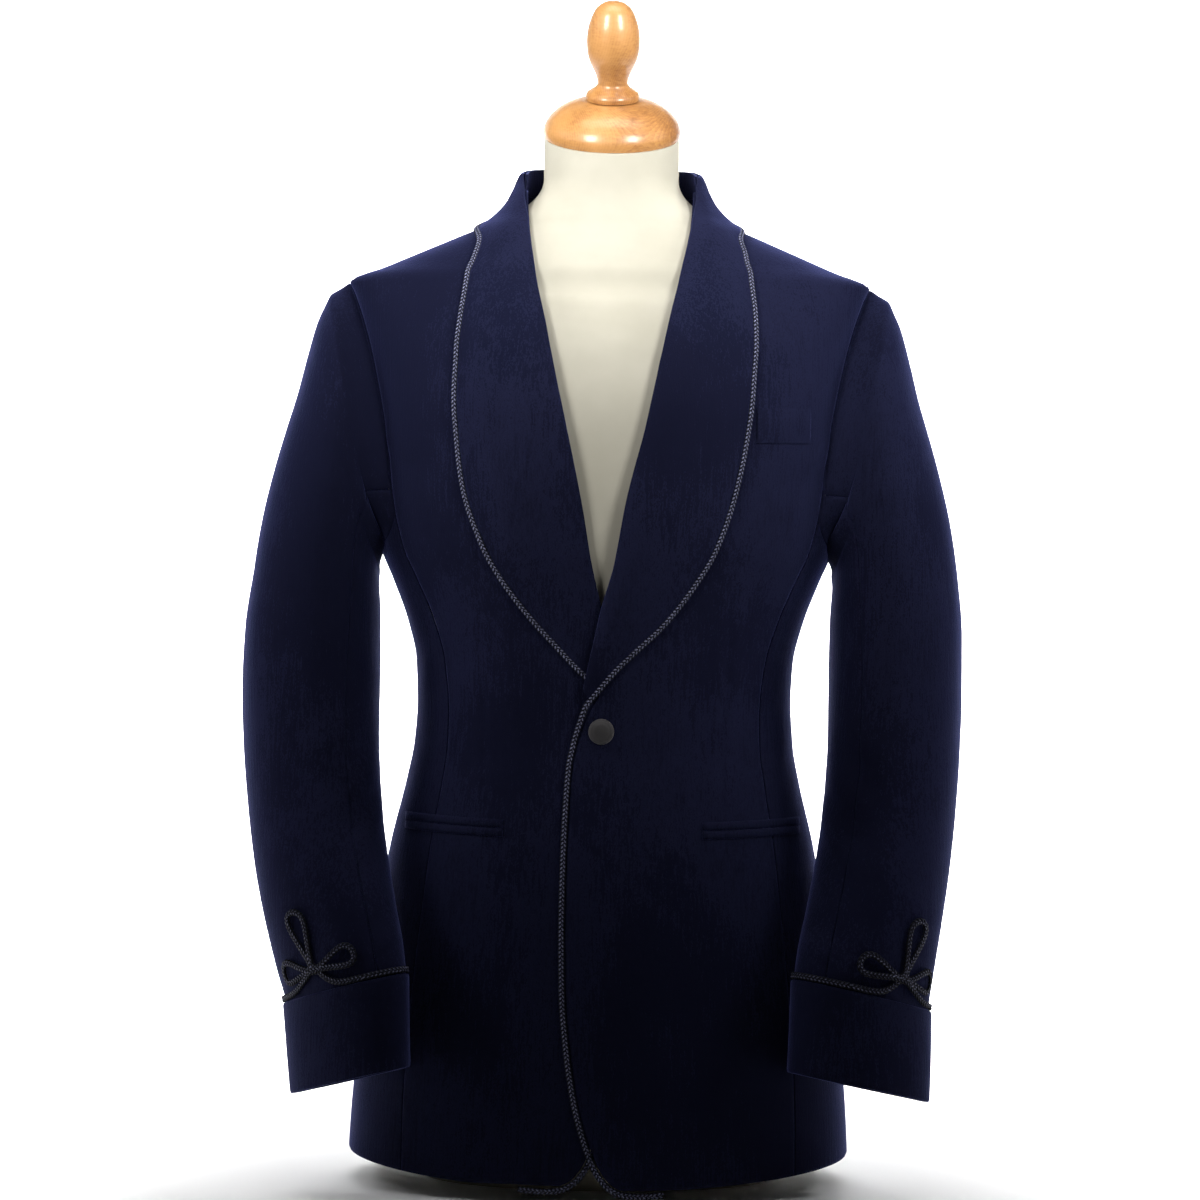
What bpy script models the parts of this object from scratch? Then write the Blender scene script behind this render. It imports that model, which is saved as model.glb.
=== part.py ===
"""Smoking jacket on a limbless dress form, in metres, +Z up.

The jacket faces -Y, the wearer's left is +X, and the form stands on z = 0.
"""
import bpy
import bmesh
import math
import numpy as np
from mathutils import Matrix, Vector

COLLECTION = "smoking_jacket"
MM = 0.001
CLOTH = 1.8 * MM
SEAM = 0.3 * MM
ROUNDNESS = 2.1
# Steps that the skins' directions are taken over: degrees round, metres up, sleeve sections.
ROUND_STEP = 0.5
RISE_STEP = 2 * MM
SECTION_STEP = 0.15
SLEEVE_ROUND_STEP = 2
BEHIND = 179.0

BRAID_WIDTH = 5.4 * MM
BRAID_THICKNESS = 2.4 * MM
BRAID_STEP = 15 * MM
BRAID_GAP = 0.6 * MM

# Rings of the jacket's body: height, half width, depth in front, depth behind.
BODY = np.array([
    (0.000, 0.2000, 0.140, 0.127), (0.059, 0.1970, 0.137, 0.124), (0.130, 0.1900, 0.131, 0.118),
    (0.200, 0.1800, 0.124, 0.112), (0.267, 0.1685, 0.117, 0.104), (0.315, 0.1570, 0.110, 0.095),
    (0.347, 0.1510, 0.106, 0.089), (0.379, 0.1490, 0.105, 0.085), (0.411, 0.1505, 0.107, 0.085),
    (0.443, 0.1580, 0.111, 0.089), (0.475, 0.1700, 0.116, 0.096), (0.500, 0.1800, 0.120, 0.102),
    (0.550, 0.1870, 0.124, 0.110), (0.600, 0.1900, 0.125, 0.115), (0.650, 0.1950, 0.117, 0.112),
    (0.680, 0.2000, 0.105, 0.108), (0.700, 0.2050, 0.093, 0.102), (0.711, 0.2080, 0.085, 0.097),
    (0.7235, 0.1790, 0.077, 0.091), (0.736, 0.1500, 0.070, 0.085), (0.748, 0.1220, 0.064, 0.080),
    (0.760, 0.0950, 0.059, 0.075), (0.775, 0.0780, 0.056, 0.071), (0.790, 0.0700, 0.054, 0.068),
    (0.830, 0.0660, 0.052, 0.066)])
# Height of the hem by the angle round the body, from centre front.
HEM = np.array([(0, 0.0106), (20, 0.0109), (28, 0.0114), (45, 0.0140), (90, 0.022), (180, 0.025)])
HEM_FADE = 0.12

# Armhole: turn from the shoulder tip, and x over the ring's half width in front and behind.
ARMHOLE_CENTRE = 0.6055
ARMHOLE_HALF = 0.1055
ARMHOLE = np.array([
    (0, 1.0, 1.0), (21, 0.991, 0.991), (42, 0.979, 0.977), (63, 0.960, 0.952), (84, 0.938, 0.928),
    (105, 0.915, 0.911), (125, 0.907, 0.905), (139, 0.902, 0.912), (153, 0.935, 0.940),
    (166, 0.974, 0.976), (180, 1.0, 1.0)])
SLEEVE_SEAM = 125
SIDE_SEAM = 139
SHOULDER_TIP = ARMHOLE_CENTRE + ARMHOLE_HALF
# Heights of the panels' rows below the armpit and above the shoulder tip.
LOW_ROWS = (0.0, 0.004, 0.010, 0.020, 0.038, 0.065, 0.10, 0.145, 0.19, 0.235, 0.275, 0.315, 0.345,
            0.366, 0.385, 0.412, 0.445, 0.475, 0.502)
HIGH_ROWS = (0.7235, 0.736, 0.748, 0.760, 0.775, 0.785)
# Side seams: height, x over half width of the front seam and of the back seam.
SIDE_SEAMS = np.array([
    (0.00, 0.767, 0.74), (0.28, 0.80, 0.76), (0.38, 0.82, 0.78), (0.45, 0.86, 0.84),
    (0.526, 0.902, 0.912)])
NECK_SEAM = HIGH_ROWS[-1]

# Centre line of the braid down the wearer's left front edge and round the corner: x, z.
FRONT_EDGE = np.array([
    (-0.0112, 0.382), (-0.0148, 0.376), (-0.0182, 0.366), (-0.0216, 0.3554), (-0.0241, 0.3448),
    (-0.0266, 0.3324), (-0.0284, 0.306), (-0.0301, 0.261), (-0.0307, 0.2155), (-0.0294, 0.1545),
    (-0.0262, 0.120), (-0.0191, 0.0756), (-0.0144, 0.0572), (-0.0089, 0.0407), (-0.0044, 0.0293),
    (0.0019, 0.0189), (0.0098, 0.0112), (0.0204, 0.0070), (0.0310, 0.0062), (0.0423, 0.0066),
    (0.0502, 0.0074)])
# Shift of the right front's edge against the mirrored left one.
UNDERLAP_SHIFT = (0.011, 0.0026)
CORNER_TOP = 0.055
CORNER_CROWD = 1.6
# Inner edge of the left front under the shawl's tip, up to the roll line: z, x.
TIP_BOTTOM = 0.3554
TIP_TOP = 0.430
TIP_INNER = np.array([(0.3554, -0.0178), (0.366, -0.0138), (0.376, -0.0096), (0.385, -0.0042),
                      (0.397, -0.0030), (0.412, -0.0088), (0.430, -0.0085)])
# Shawl stations from the bottom up: roll line x, z and centre of the edge braid x, z.
LEFT_SHAWL = np.array([
    (-0.0165, 0.391, -0.0112, 0.382), (-0.0085, 0.430, 0.0085, 0.406),
    (-0.0034, 0.454, 0.0240, 0.4215), (0.0054, 0.485, 0.0483, 0.446),
    (0.0146, 0.537, 0.0822, 0.497), (0.0278, 0.590, 0.1015, 0.560),
    (0.0395, 0.647, 0.1107, 0.630), (0.0471, 0.682, 0.1125, 0.669),
    (0.0564, 0.723, 0.1095, 0.705), (0.0627, 0.753, 0.1048, 0.7305),
    (0.0655, 0.775, 0.1012, 0.7445), (0.0672, 0.797, 0.0960, 0.7610)])
RIGHT_SHAWL = np.array([
    (0.0080, 0.405, -0.0130, 0.3990), (0.0045, 0.420, -0.0200, 0.4050),
    (-0.0034, 0.454, -0.0330, 0.418), (-0.0113, 0.487, -0.0600, 0.4475),
    (-0.0191, 0.532, -0.0890, 0.490), (-0.0303, 0.586, -0.1110, 0.549),
    (-0.0398, 0.629, -0.1172, 0.600), (-0.0489, 0.673, -0.1170, 0.648),
    (-0.0572, 0.710, -0.1133, 0.688), (-0.0635, 0.750, -0.1065, 0.723),
    (-0.0665, 0.775, -0.1020, 0.7420), (-0.0682, 0.797, -0.0968, 0.7600)])
# The shawl behind the neck: angle, height of the fold and height of the fall's edge.
NECK_FOLD = np.array([(84, 0.799, 0.7600), (96, 0.802, 0.7605), (112, 0.806, 0.762),
                      (130, 0.809, 0.764), (150, 0.811, 0.766), (180, 0.812, 0.767)])
# Lift of the shawl's face over the front, across it from the roll line to the edge.
SHAWL_ROLL = np.array([(0.0, 3.5), (0.08, 5.2), (0.33, 7.2), (0.7, 5.4), (1.0, 3.4)])
SHAWL_ACROSS = np.array([0, 0.08, 0.3, 0.55, 0.8, 1.0])
SHAWL_ROWS = 25
SHAWL_FLAT = 3.0 * MM
# How far the right front lies under the left one.
UNDERLAP_LOW = 3.0 * MM
UNDERLAP_HIGH = 5.6 * MM

# Sleeve sections: outer x, z; inner x, z; half depth; centre y; skew in degrees.
SLEEVE = np.array([
    (0.2225, 0.7005, 0.1815, 0.5005, 0.0630, 0.000, 0),
    (0.2325, 0.6800, 0.1824, 0.4930, 0.0650, 0.000, 0),
    (0.2405, 0.6520, 0.1822, 0.4850, 0.0660, 0.000, 0),
    (0.2480, 0.6220, 0.1816, 0.4760, 0.0665, 0.000, 0),
    (0.2570, 0.5920, 0.1810, 0.4650, 0.0665, 0.000, 0),
    (0.2660, 0.5600, 0.1800, 0.4520, 0.0660, 0.000, 0),
    (0.2745, 0.5230, 0.1795, 0.4340, 0.0650, -0.001, 0),
    (0.2810, 0.4800, 0.1790, 0.4110, 0.0640, -0.003, 1),
    (0.2848, 0.4350, 0.1787, 0.3840, 0.0625, -0.006, 2),
    (0.2850, 0.3890, 0.1783, 0.3530, 0.0605, -0.011, 4),
    (0.2835, 0.3430, 0.1762, 0.3200, 0.0580, -0.019, 6),
    (0.2800, 0.2970, 0.1725, 0.2860, 0.0545, -0.030, 8),
    (0.2740, 0.2510, 0.1665, 0.2530, 0.0505, -0.049, 10),
    (0.2660, 0.2060, 0.1590, 0.2190, 0.0465, -0.068, 12),
    (0.2590, 0.1700, 0.1520, 0.1900, 0.0430, -0.084, 14),
    (0.2550, 0.1455, 0.1490, 0.1680, 0.0405, -0.093, 15),
    (0.2540, 0.1140, 0.1475, 0.1360, 0.0385, -0.100, 15),
    (0.2530, 0.0770, 0.1462, 0.0985, 0.0370, -0.106, 15)])
SLEEVE_LAST = len(SLEEVE)
SLEEVE_ROWS = np.array([0, 0.5, 1, 2, 3, 4, 5.5, 7, 9, 11, 12.5, 14, 15, 16, 17, 18])
SLEEVE_GAP = 0.16
CUFF_TOP = 16
CUFF_OUTSIDE = 2.4 * MM
CUFF_INSIDE = 0.6 * MM
CUFF_CORD_LIFT = 2.1 * MM
CUFF_TILT = math.tan(math.radians(7.9))
# The right cuff hangs turned: change of outer x, half depth and skew by section number.
RIGHT_TURN = np.array([(8, 0.000, 0.0, 0), (10, 0.004, 0.000, 4), (13, 0.001, 0.001, 12),
                       (16, -0.0095, 0.0075, 20), (18, -0.0155, 0.0100, 22)])

# The three-loop knot's turn round each sleeve, the wearer's left at 1 and right at -1.
KNOT_TURN = {1: 60, -1: 69}
# Heading from straight up, length and width of each loop, in millimetres, are in KNOT_LOOPS.
KNOT_RISE = 17 * MM
KNOT_RADIUS = 0.050
KNOT_STACK = 0.2 * MM
KNOT_LOOPS = ((-76, 34, 19), (8, 49, 16), (82, 31, 19))
KNOT_SIDES = 12
KNOT_OPEN = 0.12
KNOT_FOOT = 3.1
KNOT_WIDTH = 12 * MM
KNOT_TOP = 5 * MM

BUTTON = (-0.002, 0.3585)
BUTTON_PROFILE = ((0.0, 3.9), (4.0, 3.7), (7.2, 3.0), (9.4, 1.9), (10.0, 1.0), (9.4, 0.3), (0.0, 0.3))

# Pocket pieces: first x, last x, low and high z at the first end, rise to the last end.
WELT = (0.1145, 0.1575, 0.5825, 0.6095, 0.0015)
JET_LOW = (0.0770, 0.1550, 0.2765, 0.2828, 0.0020)
JET_HIGH = (0.0770, 0.1550, 0.2833, 0.2896, 0.0020)

# Dress form: height and how far its skin lies inside the jacket's outer face.
FORM_INSET = np.array([
    (0.00, 0.062), (0.06, 0.044), (0.12, 0.033), (0.20, 0.025), (0.30, 0.019), (0.38, 0.016),
    (0.45, 0.014), (0.52, 0.012), (0.60, 0.011), (0.65, 0.010), (0.70, 0.0085), (0.711, 0.0070),
    (0.7235, 0.0029), (0.762, 0.0027)])
FORM_ROWS = (0.0, 0.05, 0.12, 0.20, 0.27, 0.33, 0.38, 0.43, 0.48, 0.53, 0.58, 0.63, 0.67, 0.695,
             0.711, 0.7235, 0.736, 0.748, 0.762, 0.770, 0.782, 0.796)
NECK_RADIUS = 0.054
NECK_Y = 0.004
NECK_TOP = 0.8312
CAP_TILT = math.radians(21.5)
CAP_HEIGHT = 0.0303
CAP_PROFILE = ((0, 30.3), (12, 30.2), (20, 29.8), (27, 28.7), (34, 26.7), (42.3, 22.4), (49.4, 16.4),
               (53.2, 11.0), (54.7, 6.6), (54.9, 3.8), (54.2, 0.3), (0, 0.3))
FINIAL_PROFILE = (
    (0, 79.4), (6.0, 78.5), (11.0, 75.9), (14.8, 72.0), (18.1, 64.9), (20.3, 56.8), (21.3, 47.4),
    (20.9, 40.0), (19.2, 32.6), (15.9, 25.0), (13.1, 18.6), (12.1, 13.4), (13.9, 10.4), (17.5, 7.8),
    (20.6, 5.4), (21.5, 3.2), (21.1, 0.3), (0, 0.3))

# Looks: base colour, roughness and sheen.
NAVY_VELVET = ((0.010, 0.012, 0.040), 0.85, 0.4)
CORD = ((0.045, 0.050, 0.090), 0.6, 0.0)
SATIN = ((0.035, 0.034, 0.036), 0.45, 0.0)
CREAM_CLOTH = ((0.80, 0.77, 0.68), 0.8, 0.0)
BEECH = ((0.62, 0.33, 0.12), 0.3, 0.0)


def smooth(table, column, at):
    """Monotone cubic through a table's first column and the named one."""
    x = table[:, 0]
    y = table[:, column]
    at = np.clip(np.asarray(at, float), x[0], x[-1])
    step = np.diff(x)
    slope = np.diff(y) / step
    m = np.zeros_like(y)
    same = slope[:-1] * slope[1:] > 0
    w1 = 2 * step[1:] + step[:-1]
    w2 = step[1:] + 2 * step[:-1]
    safe_a = np.where(same, slope[:-1], 1.0)
    safe_b = np.where(same, slope[1:], 1.0)
    m[1:-1] = np.where(same, (w1 + w2) / (w1 / safe_a + w2 / safe_b), 0.0)
    m[0] = slope[0]
    m[-1] = slope[-1]
    i = np.clip(np.searchsorted(x, at, side="right") - 1, 0, len(x) - 2)
    t = (at - x[i]) / step[i]
    h00 = (1 + 2 * t) * (1 - t) ** 2
    h10 = t * (1 - t) ** 2
    h01 = t * t * (3 - 2 * t)
    h11 = t * t * (t - 1)
    return h00 * y[i] + h10 * step[i] * m[i] + h01 * y[i + 1] + h11 * step[i] * m[i + 1]


def fade(low, high, at):
    """0 below low, 1 above high, smooth between."""
    t = np.clip((np.asarray(at, float) - low) / (high - low), 0, 1)
    return t * t * (3 - 2 * t)


def unit(v):
    return v / np.linalg.norm(v, axis=-1, keepdims=True)


def ring_point(angle, z):
    """A point of the body's skin: angle in degrees from centre front towards the wearer's left."""
    turn = np.radians(angle)
    s = np.sin(turn)
    c = np.cos(turn)
    half = smooth(BODY, 1, z)
    depth = np.where(c >= 0, smooth(BODY, 2, z), smooth(BODY, 3, z))
    r = ((np.abs(s) / half) ** ROUNDNESS + (np.abs(c) / depth) ** ROUNDNESS) ** (-1 / ROUNDNESS)
    return np.stack(np.broadcast_arrays(r * s, -r * c, np.asarray(z, float) + 0 * r), axis=-1)


def body_point(angle, z, lift=0.0):
    angle, z, lift = np.broadcast_arrays(np.asarray(angle, float), np.asarray(z, float), lift)
    across = ring_point(angle + ROUND_STEP, z) - ring_point(angle - ROUND_STEP, z)
    up = ring_point(angle, z + RISE_STEP) - ring_point(angle, z - RISE_STEP)
    return ring_point(angle, z) + lift[..., None] * unit(np.cross(across, up))


def angle_at(x, z, behind=False):
    """Angle of the body point with this x at this height."""
    x = np.asarray(x, float)
    ratio = np.clip(np.abs(x) / smooth(BODY, 1, z), 0, 1)
    depth = smooth(BODY, 3 if behind else 2, z)
    y = depth * (1 - ratio ** ROUNDNESS) ** (1 / ROUNDNESS)
    turn = np.degrees(np.arctan2(np.abs(x), y))
    return np.sign(x) * (180 - turn if behind else turn)


def seam_angle(ratio, z, behind):
    return angle_at(ratio * smooth(BODY, 1, z), z, behind)


def armhole(turn):
    """Angle and height of the armhole: turn 0 at the shoulder tip, 90 in front, 270 behind."""
    turn = np.asarray(turn, float)
    behind = turn > 180
    t = np.where(behind, 360 - turn, turn)
    z = ARMHOLE_CENTRE + ARMHOLE_HALF * np.cos(np.radians(t))
    front = seam_angle(smooth(ARMHOLE, 1, t), z, False)
    back = seam_angle(smooth(ARMHOLE, 2, t), z, True)
    return np.where(behind, back, front), z


def degrees_for(length, angle, z):
    """Degrees round the body that make this length."""
    arc = ring_point(angle + ROUND_STEP, z) - ring_point(angle - ROUND_STEP, z)
    return length * 2 * ROUND_STEP / np.linalg.norm(arc, axis=-1)


def new_object(name, bm, material):
    bmesh.ops.recalc_face_normals(bm, faces=bm.faces)
    mesh = bpy.data.meshes.new(name)
    bm.to_mesh(mesh)
    bm.free()
    mesh.shade_smooth()
    mesh.set_sharp_from_angle(angle=math.radians(40))
    mesh.materials.append(material)
    thing = bpy.data.objects.new(name, mesh)
    bpy.data.collections[COLLECTION].objects.link(thing)
    return thing


def wall(name, outer, inner, material, ring=False):
    """A closed wall between two lofted skins, rows by columns of points."""
    bm = bmesh.new()
    rows, columns = outer.shape[:2]
    skins = [[[bm.verts.new(p) for p in row] for row in skin] for skin in (outer, inner)]
    spans = columns if ring else columns - 1
    for r in range(rows - 1):
        for c in range(spans):
            d = (c + 1) % columns
            for skin in skins:
                bm.faces.new((skin[r][c], skin[r][d], skin[r + 1][d], skin[r + 1][c]))
    for r in (0, rows - 1):
        for c in range(spans):
            d = (c + 1) % columns
            bm.faces.new((skins[0][r][c], skins[0][r][d], skins[1][r][d], skins[1][r][c]))
    if not ring:
        for c in (0, columns - 1):
            for r in range(rows - 1):
                bm.faces.new((skins[0][r][c], skins[0][r + 1][c], skins[1][r + 1][c], skins[1][r][c]))
    return new_object(name, bm, material)


def resample(points, step):
    """Points a step apart along a smooth line through the given ones."""
    length = np.concatenate([[0], np.cumsum(np.linalg.norm(np.diff(points, axis=0), axis=1))])
    table = np.column_stack([length, points])
    count = max(2, round(length[-1] / step) + 1)
    at = np.linspace(0, length[-1], count)
    return np.column_stack([smooth(table, k + 1, at) for k in range(points.shape[1])])


def cord(name, centres, across, out, material, closed=False, width=BRAID_WIDTH):
    """A flat cord swept along its centres: across gives its width, out its thickness."""
    a = across * width / 2
    o = out * BRAID_THICKNESS / 2
    corners = np.stack([centres - a - o, centres + a - o, centres + a + o, centres - a + o], axis=1)
    bm = bmesh.new()
    loops = [[bm.verts.new(p) for p in section] for section in corners]
    count = len(loops)
    for i in range(count if closed else count - 1):
        here = loops[i]
        there = loops[(i + 1) % count]
        for k in range(4):
            bm.faces.new((here[k], here[(k + 1) % 4], there[(k + 1) % 4], there[k]))
    if not closed:
        bm.faces.new(loops[0])
        bm.faces.new(loops[-1])
    return new_object(name, bm, material)


def underlap(x, z):
    """Depth of the right front under the left one."""
    deep = UNDERLAP_LOW + (UNDERLAP_HIGH - UNDERLAP_LOW) * fade(0.30, 0.36, z)
    inside = fade(-0.085, -0.038, x) * (1 - fade(0.50, 0.58, z))
    return -deep * inside


def front_lift(side, angle, z):
    if side > 0:
        return 0 * angle
    return underlap(ring_point(angle, z)[..., 0], z)


def shawl_table(side):
    return LEFT_SHAWL if side > 0 else RIGHT_SHAWL


def inward_of(path, side, distance):
    """A line beside a braid's centre line, on the cloth's side of it."""
    along = unit(np.gradient(path, axis=0))
    return path + distance * np.stack([-side * along[:, 1], side * along[:, 0]], axis=1)


def left_inner(z):
    """x of the left front's inner edge below the roll line."""
    edge = inward_of(FRONT_EDGE, 1, BRAID_WIDTH / 2 + BRAID_GAP)
    edge = edge[3:np.argmin(edge[:, 1]) + 1][::-1]
    table = np.vstack([edge[edge[:, 1] < TIP_BOTTOM - 0.004][:, ::-1], TIP_INNER])
    return smooth(table, 1, z)


def inner_edge(side, z):
    """x of the front's inner edge."""
    table = shawl_table(side)
    roll = np.interp(z, table[:, 1], table[:, 0])
    if side > 0:
        return np.where(z < TIP_TOP, left_inner(z), roll + SEAM)
    low = z - UNDERLAP_SHIFT[1] * (1 - fade(0.05, 0.3, z))
    shift = UNDERLAP_SHIFT[0] * (1 - 0.6 * fade(0.1, 0.38, z))
    edge = -left_inner(np.minimum(low, 0.335)) - shift
    mix = fade(0.33, 0.43, z)
    return edge * (1 - mix) + (roll - SEAM) * mix


def heights_to_armpit():
    pit = ARMHOLE_CENTRE + ARMHOLE_HALF * math.cos(math.radians(SIDE_SEAM))
    return [*LOW_ROWS, pit]


def heights_to_neck():
    turns = [t for t in ARMHOLE[:, 0][::-1] if t < SIDE_SEAM]
    beside = [ARMHOLE_CENTRE + ARMHOLE_HALF * math.cos(math.radians(t)) for t in turns]
    return [*beside, *HIGH_ROWS]


def hem_warp(angle, z):
    rise = smooth(HEM, 1, np.abs(angle))
    return z + rise * (1 - np.clip(z / HEM_FADE, 0, 1))


def outer_angle(z, column, behind):
    """Edge of the front or back on the side seam, the armhole or the shoulder."""
    turns = ARMHOLE[:, 0]
    heights = ARMHOLE_CENTRE + ARMHOLE_HALF * np.cos(np.radians(turns))
    if z <= heights_to_armpit()[-1]:
        ratio = smooth(SIDE_SEAMS, column, z)
    elif z < SHOULDER_TIP:
        ratio = np.interp(z, heights[::-1], ARMHOLE[::-1, column])
    else:
        return 90.0
    return float(seam_angle(ratio, z, behind))


def half_seam(angle, z):
    return float(degrees_for(SEAM / 2, angle, z))


def make_front(side, name, columns, material):
    outer = []
    inner = []
    for z in heights_to_armpit() + heights_to_neck():
        last = outer_angle(z, 1, False)
        last = side * (last - half_seam(last, z))
        start_z = float(hem_warp(0.0, z))
        if side < 0:
            start_z += UNDERLAP_SHIFT[1] * (1 - fade(0.0, 0.1, z))
        first = float(angle_at(inner_edge(side, start_z), start_z))
        angle = first + (last - first) * np.linspace(0, 1, columns)
        height = hem_warp(angle, z)
        if side < 0:
            height = height + UNDERLAP_SHIFT[1] * (1 - fade(0.0, 0.1, z)) * (1 - fade(25, 42, abs(angle)))
        lift = front_lift(side, angle, height)
        outer.append(body_point(angle, height, lift))
        inner.append(body_point(angle, height, lift - CLOTH))
    return wall(name, np.array(outer), np.array(inner), material)


def make_back(side, name, columns, material):
    outer = []
    inner = []
    for z in heights_to_armpit() + heights_to_neck():
        first = outer_angle(z, 2, True)
        first = side * (first + half_seam(first, z))
        last = side * (180 - half_seam(BEHIND, z))
        angle = first + (last - first) * np.linspace(0, 1, columns)
        height = hem_warp(angle, z)
        outer.append(body_point(angle, height))
        inner.append(body_point(angle, height, -CLOTH))
    return wall(name, np.array(outer), np.array(inner), material)


def make_side(side, name, material):
    turns = [t for t in ARMHOLE[:, 0] if t >= SIDE_SEAM]
    turns = np.array(turns + [360 - t for t in turns[-2::-1]])
    top_angle, top_z = armhole(turns)
    share = (top_angle - top_angle[0]) / (top_angle[-1] - top_angle[0])
    heights = heights_to_armpit()
    low = heights[:-3]
    outer = []
    inner = []
    for z in low:
        first = outer_angle(z, 1, False)
        last = outer_angle(z, 2, True)
        first += half_seam(first, z)
        last -= half_seam(last, z)
        angle = first + (last - first) * share
        outer.append((angle, hem_warp(angle, z)))
    base_angle, base_z = outer[-1]
    top_angle[0] += half_seam(top_angle[0], top_z[0])
    top_angle[-1] -= half_seam(top_angle[-1], top_z[-1])
    for z in heights[-3:-1]:
        part = (z - base_z) / (heights[-1] - base_z)
        edge_first = outer_angle(z, 1, False)
        edge_last = outer_angle(z, 2, True)
        edge_first += half_seam(edge_first, z)
        edge_last -= half_seam(edge_last, z)
        angle = edge_first + (edge_last - edge_first) * share
        outer.append((angle, base_z + (top_z - SEAM / 2 - base_z) * part))
    outer.append((top_angle, top_z - SEAM / 2))
    grid = [(body_point(side * a, z), body_point(side * a, z, -CLOTH)) for a, z in outer]
    return wall(name, np.array([g[0] for g in grid]), np.array([g[1] for g in grid]), material)


def shawl_stations(side, inset):
    """Roll line and edge of the shawl as angle, height pairs, from the bottom to centre back."""
    table = shawl_table(side)
    path = table[:, 2:4]
    edge = inward_of(path, side, inset)
    roll = table[:, 0:2]
    front = np.column_stack([
        angle_at(roll[:, 0], roll[:, 1]), roll[:, 1], angle_at(edge[:, 0], edge[:, 1]), edge[:, 1]])
    neck_angle = NECK_FOLD[:, 0] * side
    neck = np.column_stack([neck_angle, NECK_FOLD[:, 1], neck_angle, NECK_FOLD[:, 2] + inset])
    return np.vstack([front, neck])


def shawl_rows(side, inset, count):
    stations = shawl_stations(side, inset)
    place = np.linspace(0, 1, len(stations))
    table = np.column_stack([place, stations])
    at = np.linspace(0, 1, count)
    return np.column_stack([smooth(table, k, at) for k in range(1, 5)])


def shawl_lift(side, share, place, angle, z):
    """Lift of the shawl's face: flat at the crossing, rolled above it."""
    full = smooth(SHAWL_ROLL, 1, share) * MM
    start = 0.0 if side > 0 else 0.16
    rise = fade(start - 0.03, start + 0.16, place)
    return SHAWL_FLAT + (full - SHAWL_FLAT) * rise + front_lift(side, angle, z)


def make_shawl(side, name, material):
    rows = shawl_rows(side, BRAID_WIDTH / 2 + BRAID_GAP, SHAWL_ROWS)
    share = SHAWL_ACROSS
    outer = []
    inner = []
    for i, (roll_a, roll_z, edge_a, edge_z) in enumerate(rows):
        angle = roll_a + (edge_a - roll_a) * share
        z = roll_z + (edge_z - roll_z) * share
        if i == SHAWL_ROWS - 1:
            angle = angle - side * half_seam(BEHIND, NECK_SEAM)
        lift = shawl_lift(side, share, i / (SHAWL_ROWS - 1), angle, z)
        outer.append(body_point(angle, z, lift))
        inner.append(body_point(angle, z, lift - CLOTH))
    return wall(name, np.array(outer), np.array(inner), material)


def make_stand(name, material):
    """The stand inside the shawl's fold, round the back of the neck."""
    angle = np.concatenate([NECK_FOLD[:, 0], 360 - NECK_FOLD[-2::-1, 0]])
    fold = np.concatenate([NECK_FOLD[:, 1], NECK_FOLD[-2::-1, 1]])
    low = np.full_like(fold, NECK_SEAM + SEAM)
    heights = [low, (low + fold) / 2, fold]
    outer = np.array([body_point(angle, z) for z in heights])
    inner = np.array([body_point(angle, z, -CLOTH) for z in heights])
    return wall(name, outer, inner, material)


def sleeve_section(side, s, turn):
    """Point of the sleeve's plain section number s, 1 to the last."""
    number = np.arange(1, SLEEVE_LAST + 1, dtype=float)
    table = np.column_stack([number, SLEEVE])
    ox, oz, ix, iz, depth, cy, skew = [smooth(table, k, s) for k in range(1, 8)]
    if side < 0:
        ox = ox + smooth(RIGHT_TURN, 1, s)
        depth = depth + smooth(RIGHT_TURN, 2, s)
        skew = skew + smooth(RIGHT_TURN, 3, s)
    t = np.radians(turn)
    x = (ox + ix) / 2 + (ox - ix) / 2 * np.cos(t)
    z = (oz + iz) / 2 + (oz - iz) / 2 * np.cos(t)
    y = cy - depth * np.sin(t - np.radians(skew))
    z = z + (cy - y) * CUFF_TILT * fade(8, CUFF_TOP, s)
    return np.stack(np.broadcast_arrays(x, y, z), axis=-1)


def armhole_start(turn):
    """Where the sleeve begins: the armhole's line, moved a seam's width into the opening."""
    angle, z = armhole(turn)
    here = body_point(angle, z)
    a1, z1 = armhole((turn + SLEEVE_ROUND_STEP) % 360)
    a0, z0 = armhole((turn - SLEEVE_ROUND_STEP) % 360)
    along = unit(body_point(a1, z1) - body_point(a0, z0))
    out = unit(body_point(angle, z, MM) - here)
    into = np.cross(out, along)
    centre = ring_point(90.0, ARMHOLE_CENTRE)
    sign = np.sign(np.sum(into * (centre - here), axis=-1, keepdims=True))
    return here + into * sign * (SEAM + 0.1 * MM)


def sleeve_skin(side, s, turn):
    s, turn = np.broadcast_arrays(np.asarray(s, float), np.asarray(turn, float))
    plain = sleeve_section(side, np.clip(s, 1, SLEEVE_LAST), turn)
    share = np.clip(s, 0, 1)[..., None]
    return armhole_start(turn) * (1 - share) + plain * share


def sleeve_point(side, s, turn, lift=0.0):
    """Point of a sleeve: section s from the armhole, turn 0 outside, 90 in front, 180 inside."""
    s, turn, lift = np.broadcast_arrays(np.asarray(s, float), np.asarray(turn, float), lift)
    low = np.clip(s - SECTION_STEP, 0, SLEEVE_LAST)
    high = np.clip(s + SECTION_STEP, 0, SLEEVE_LAST)
    down = sleeve_skin(side, high, turn) - sleeve_skin(side, low, turn)
    after = sleeve_skin(side, s, (turn + SLEEVE_ROUND_STEP) % 360)
    before = sleeve_skin(side, s, (turn - SLEEVE_ROUND_STEP) % 360)
    round_it = after - before
    out = unit(np.cross(round_it, down))
    point = sleeve_skin(side, s, turn) + lift[..., None] * out
    return point * np.array([side, 1.0, 1.0])


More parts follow.
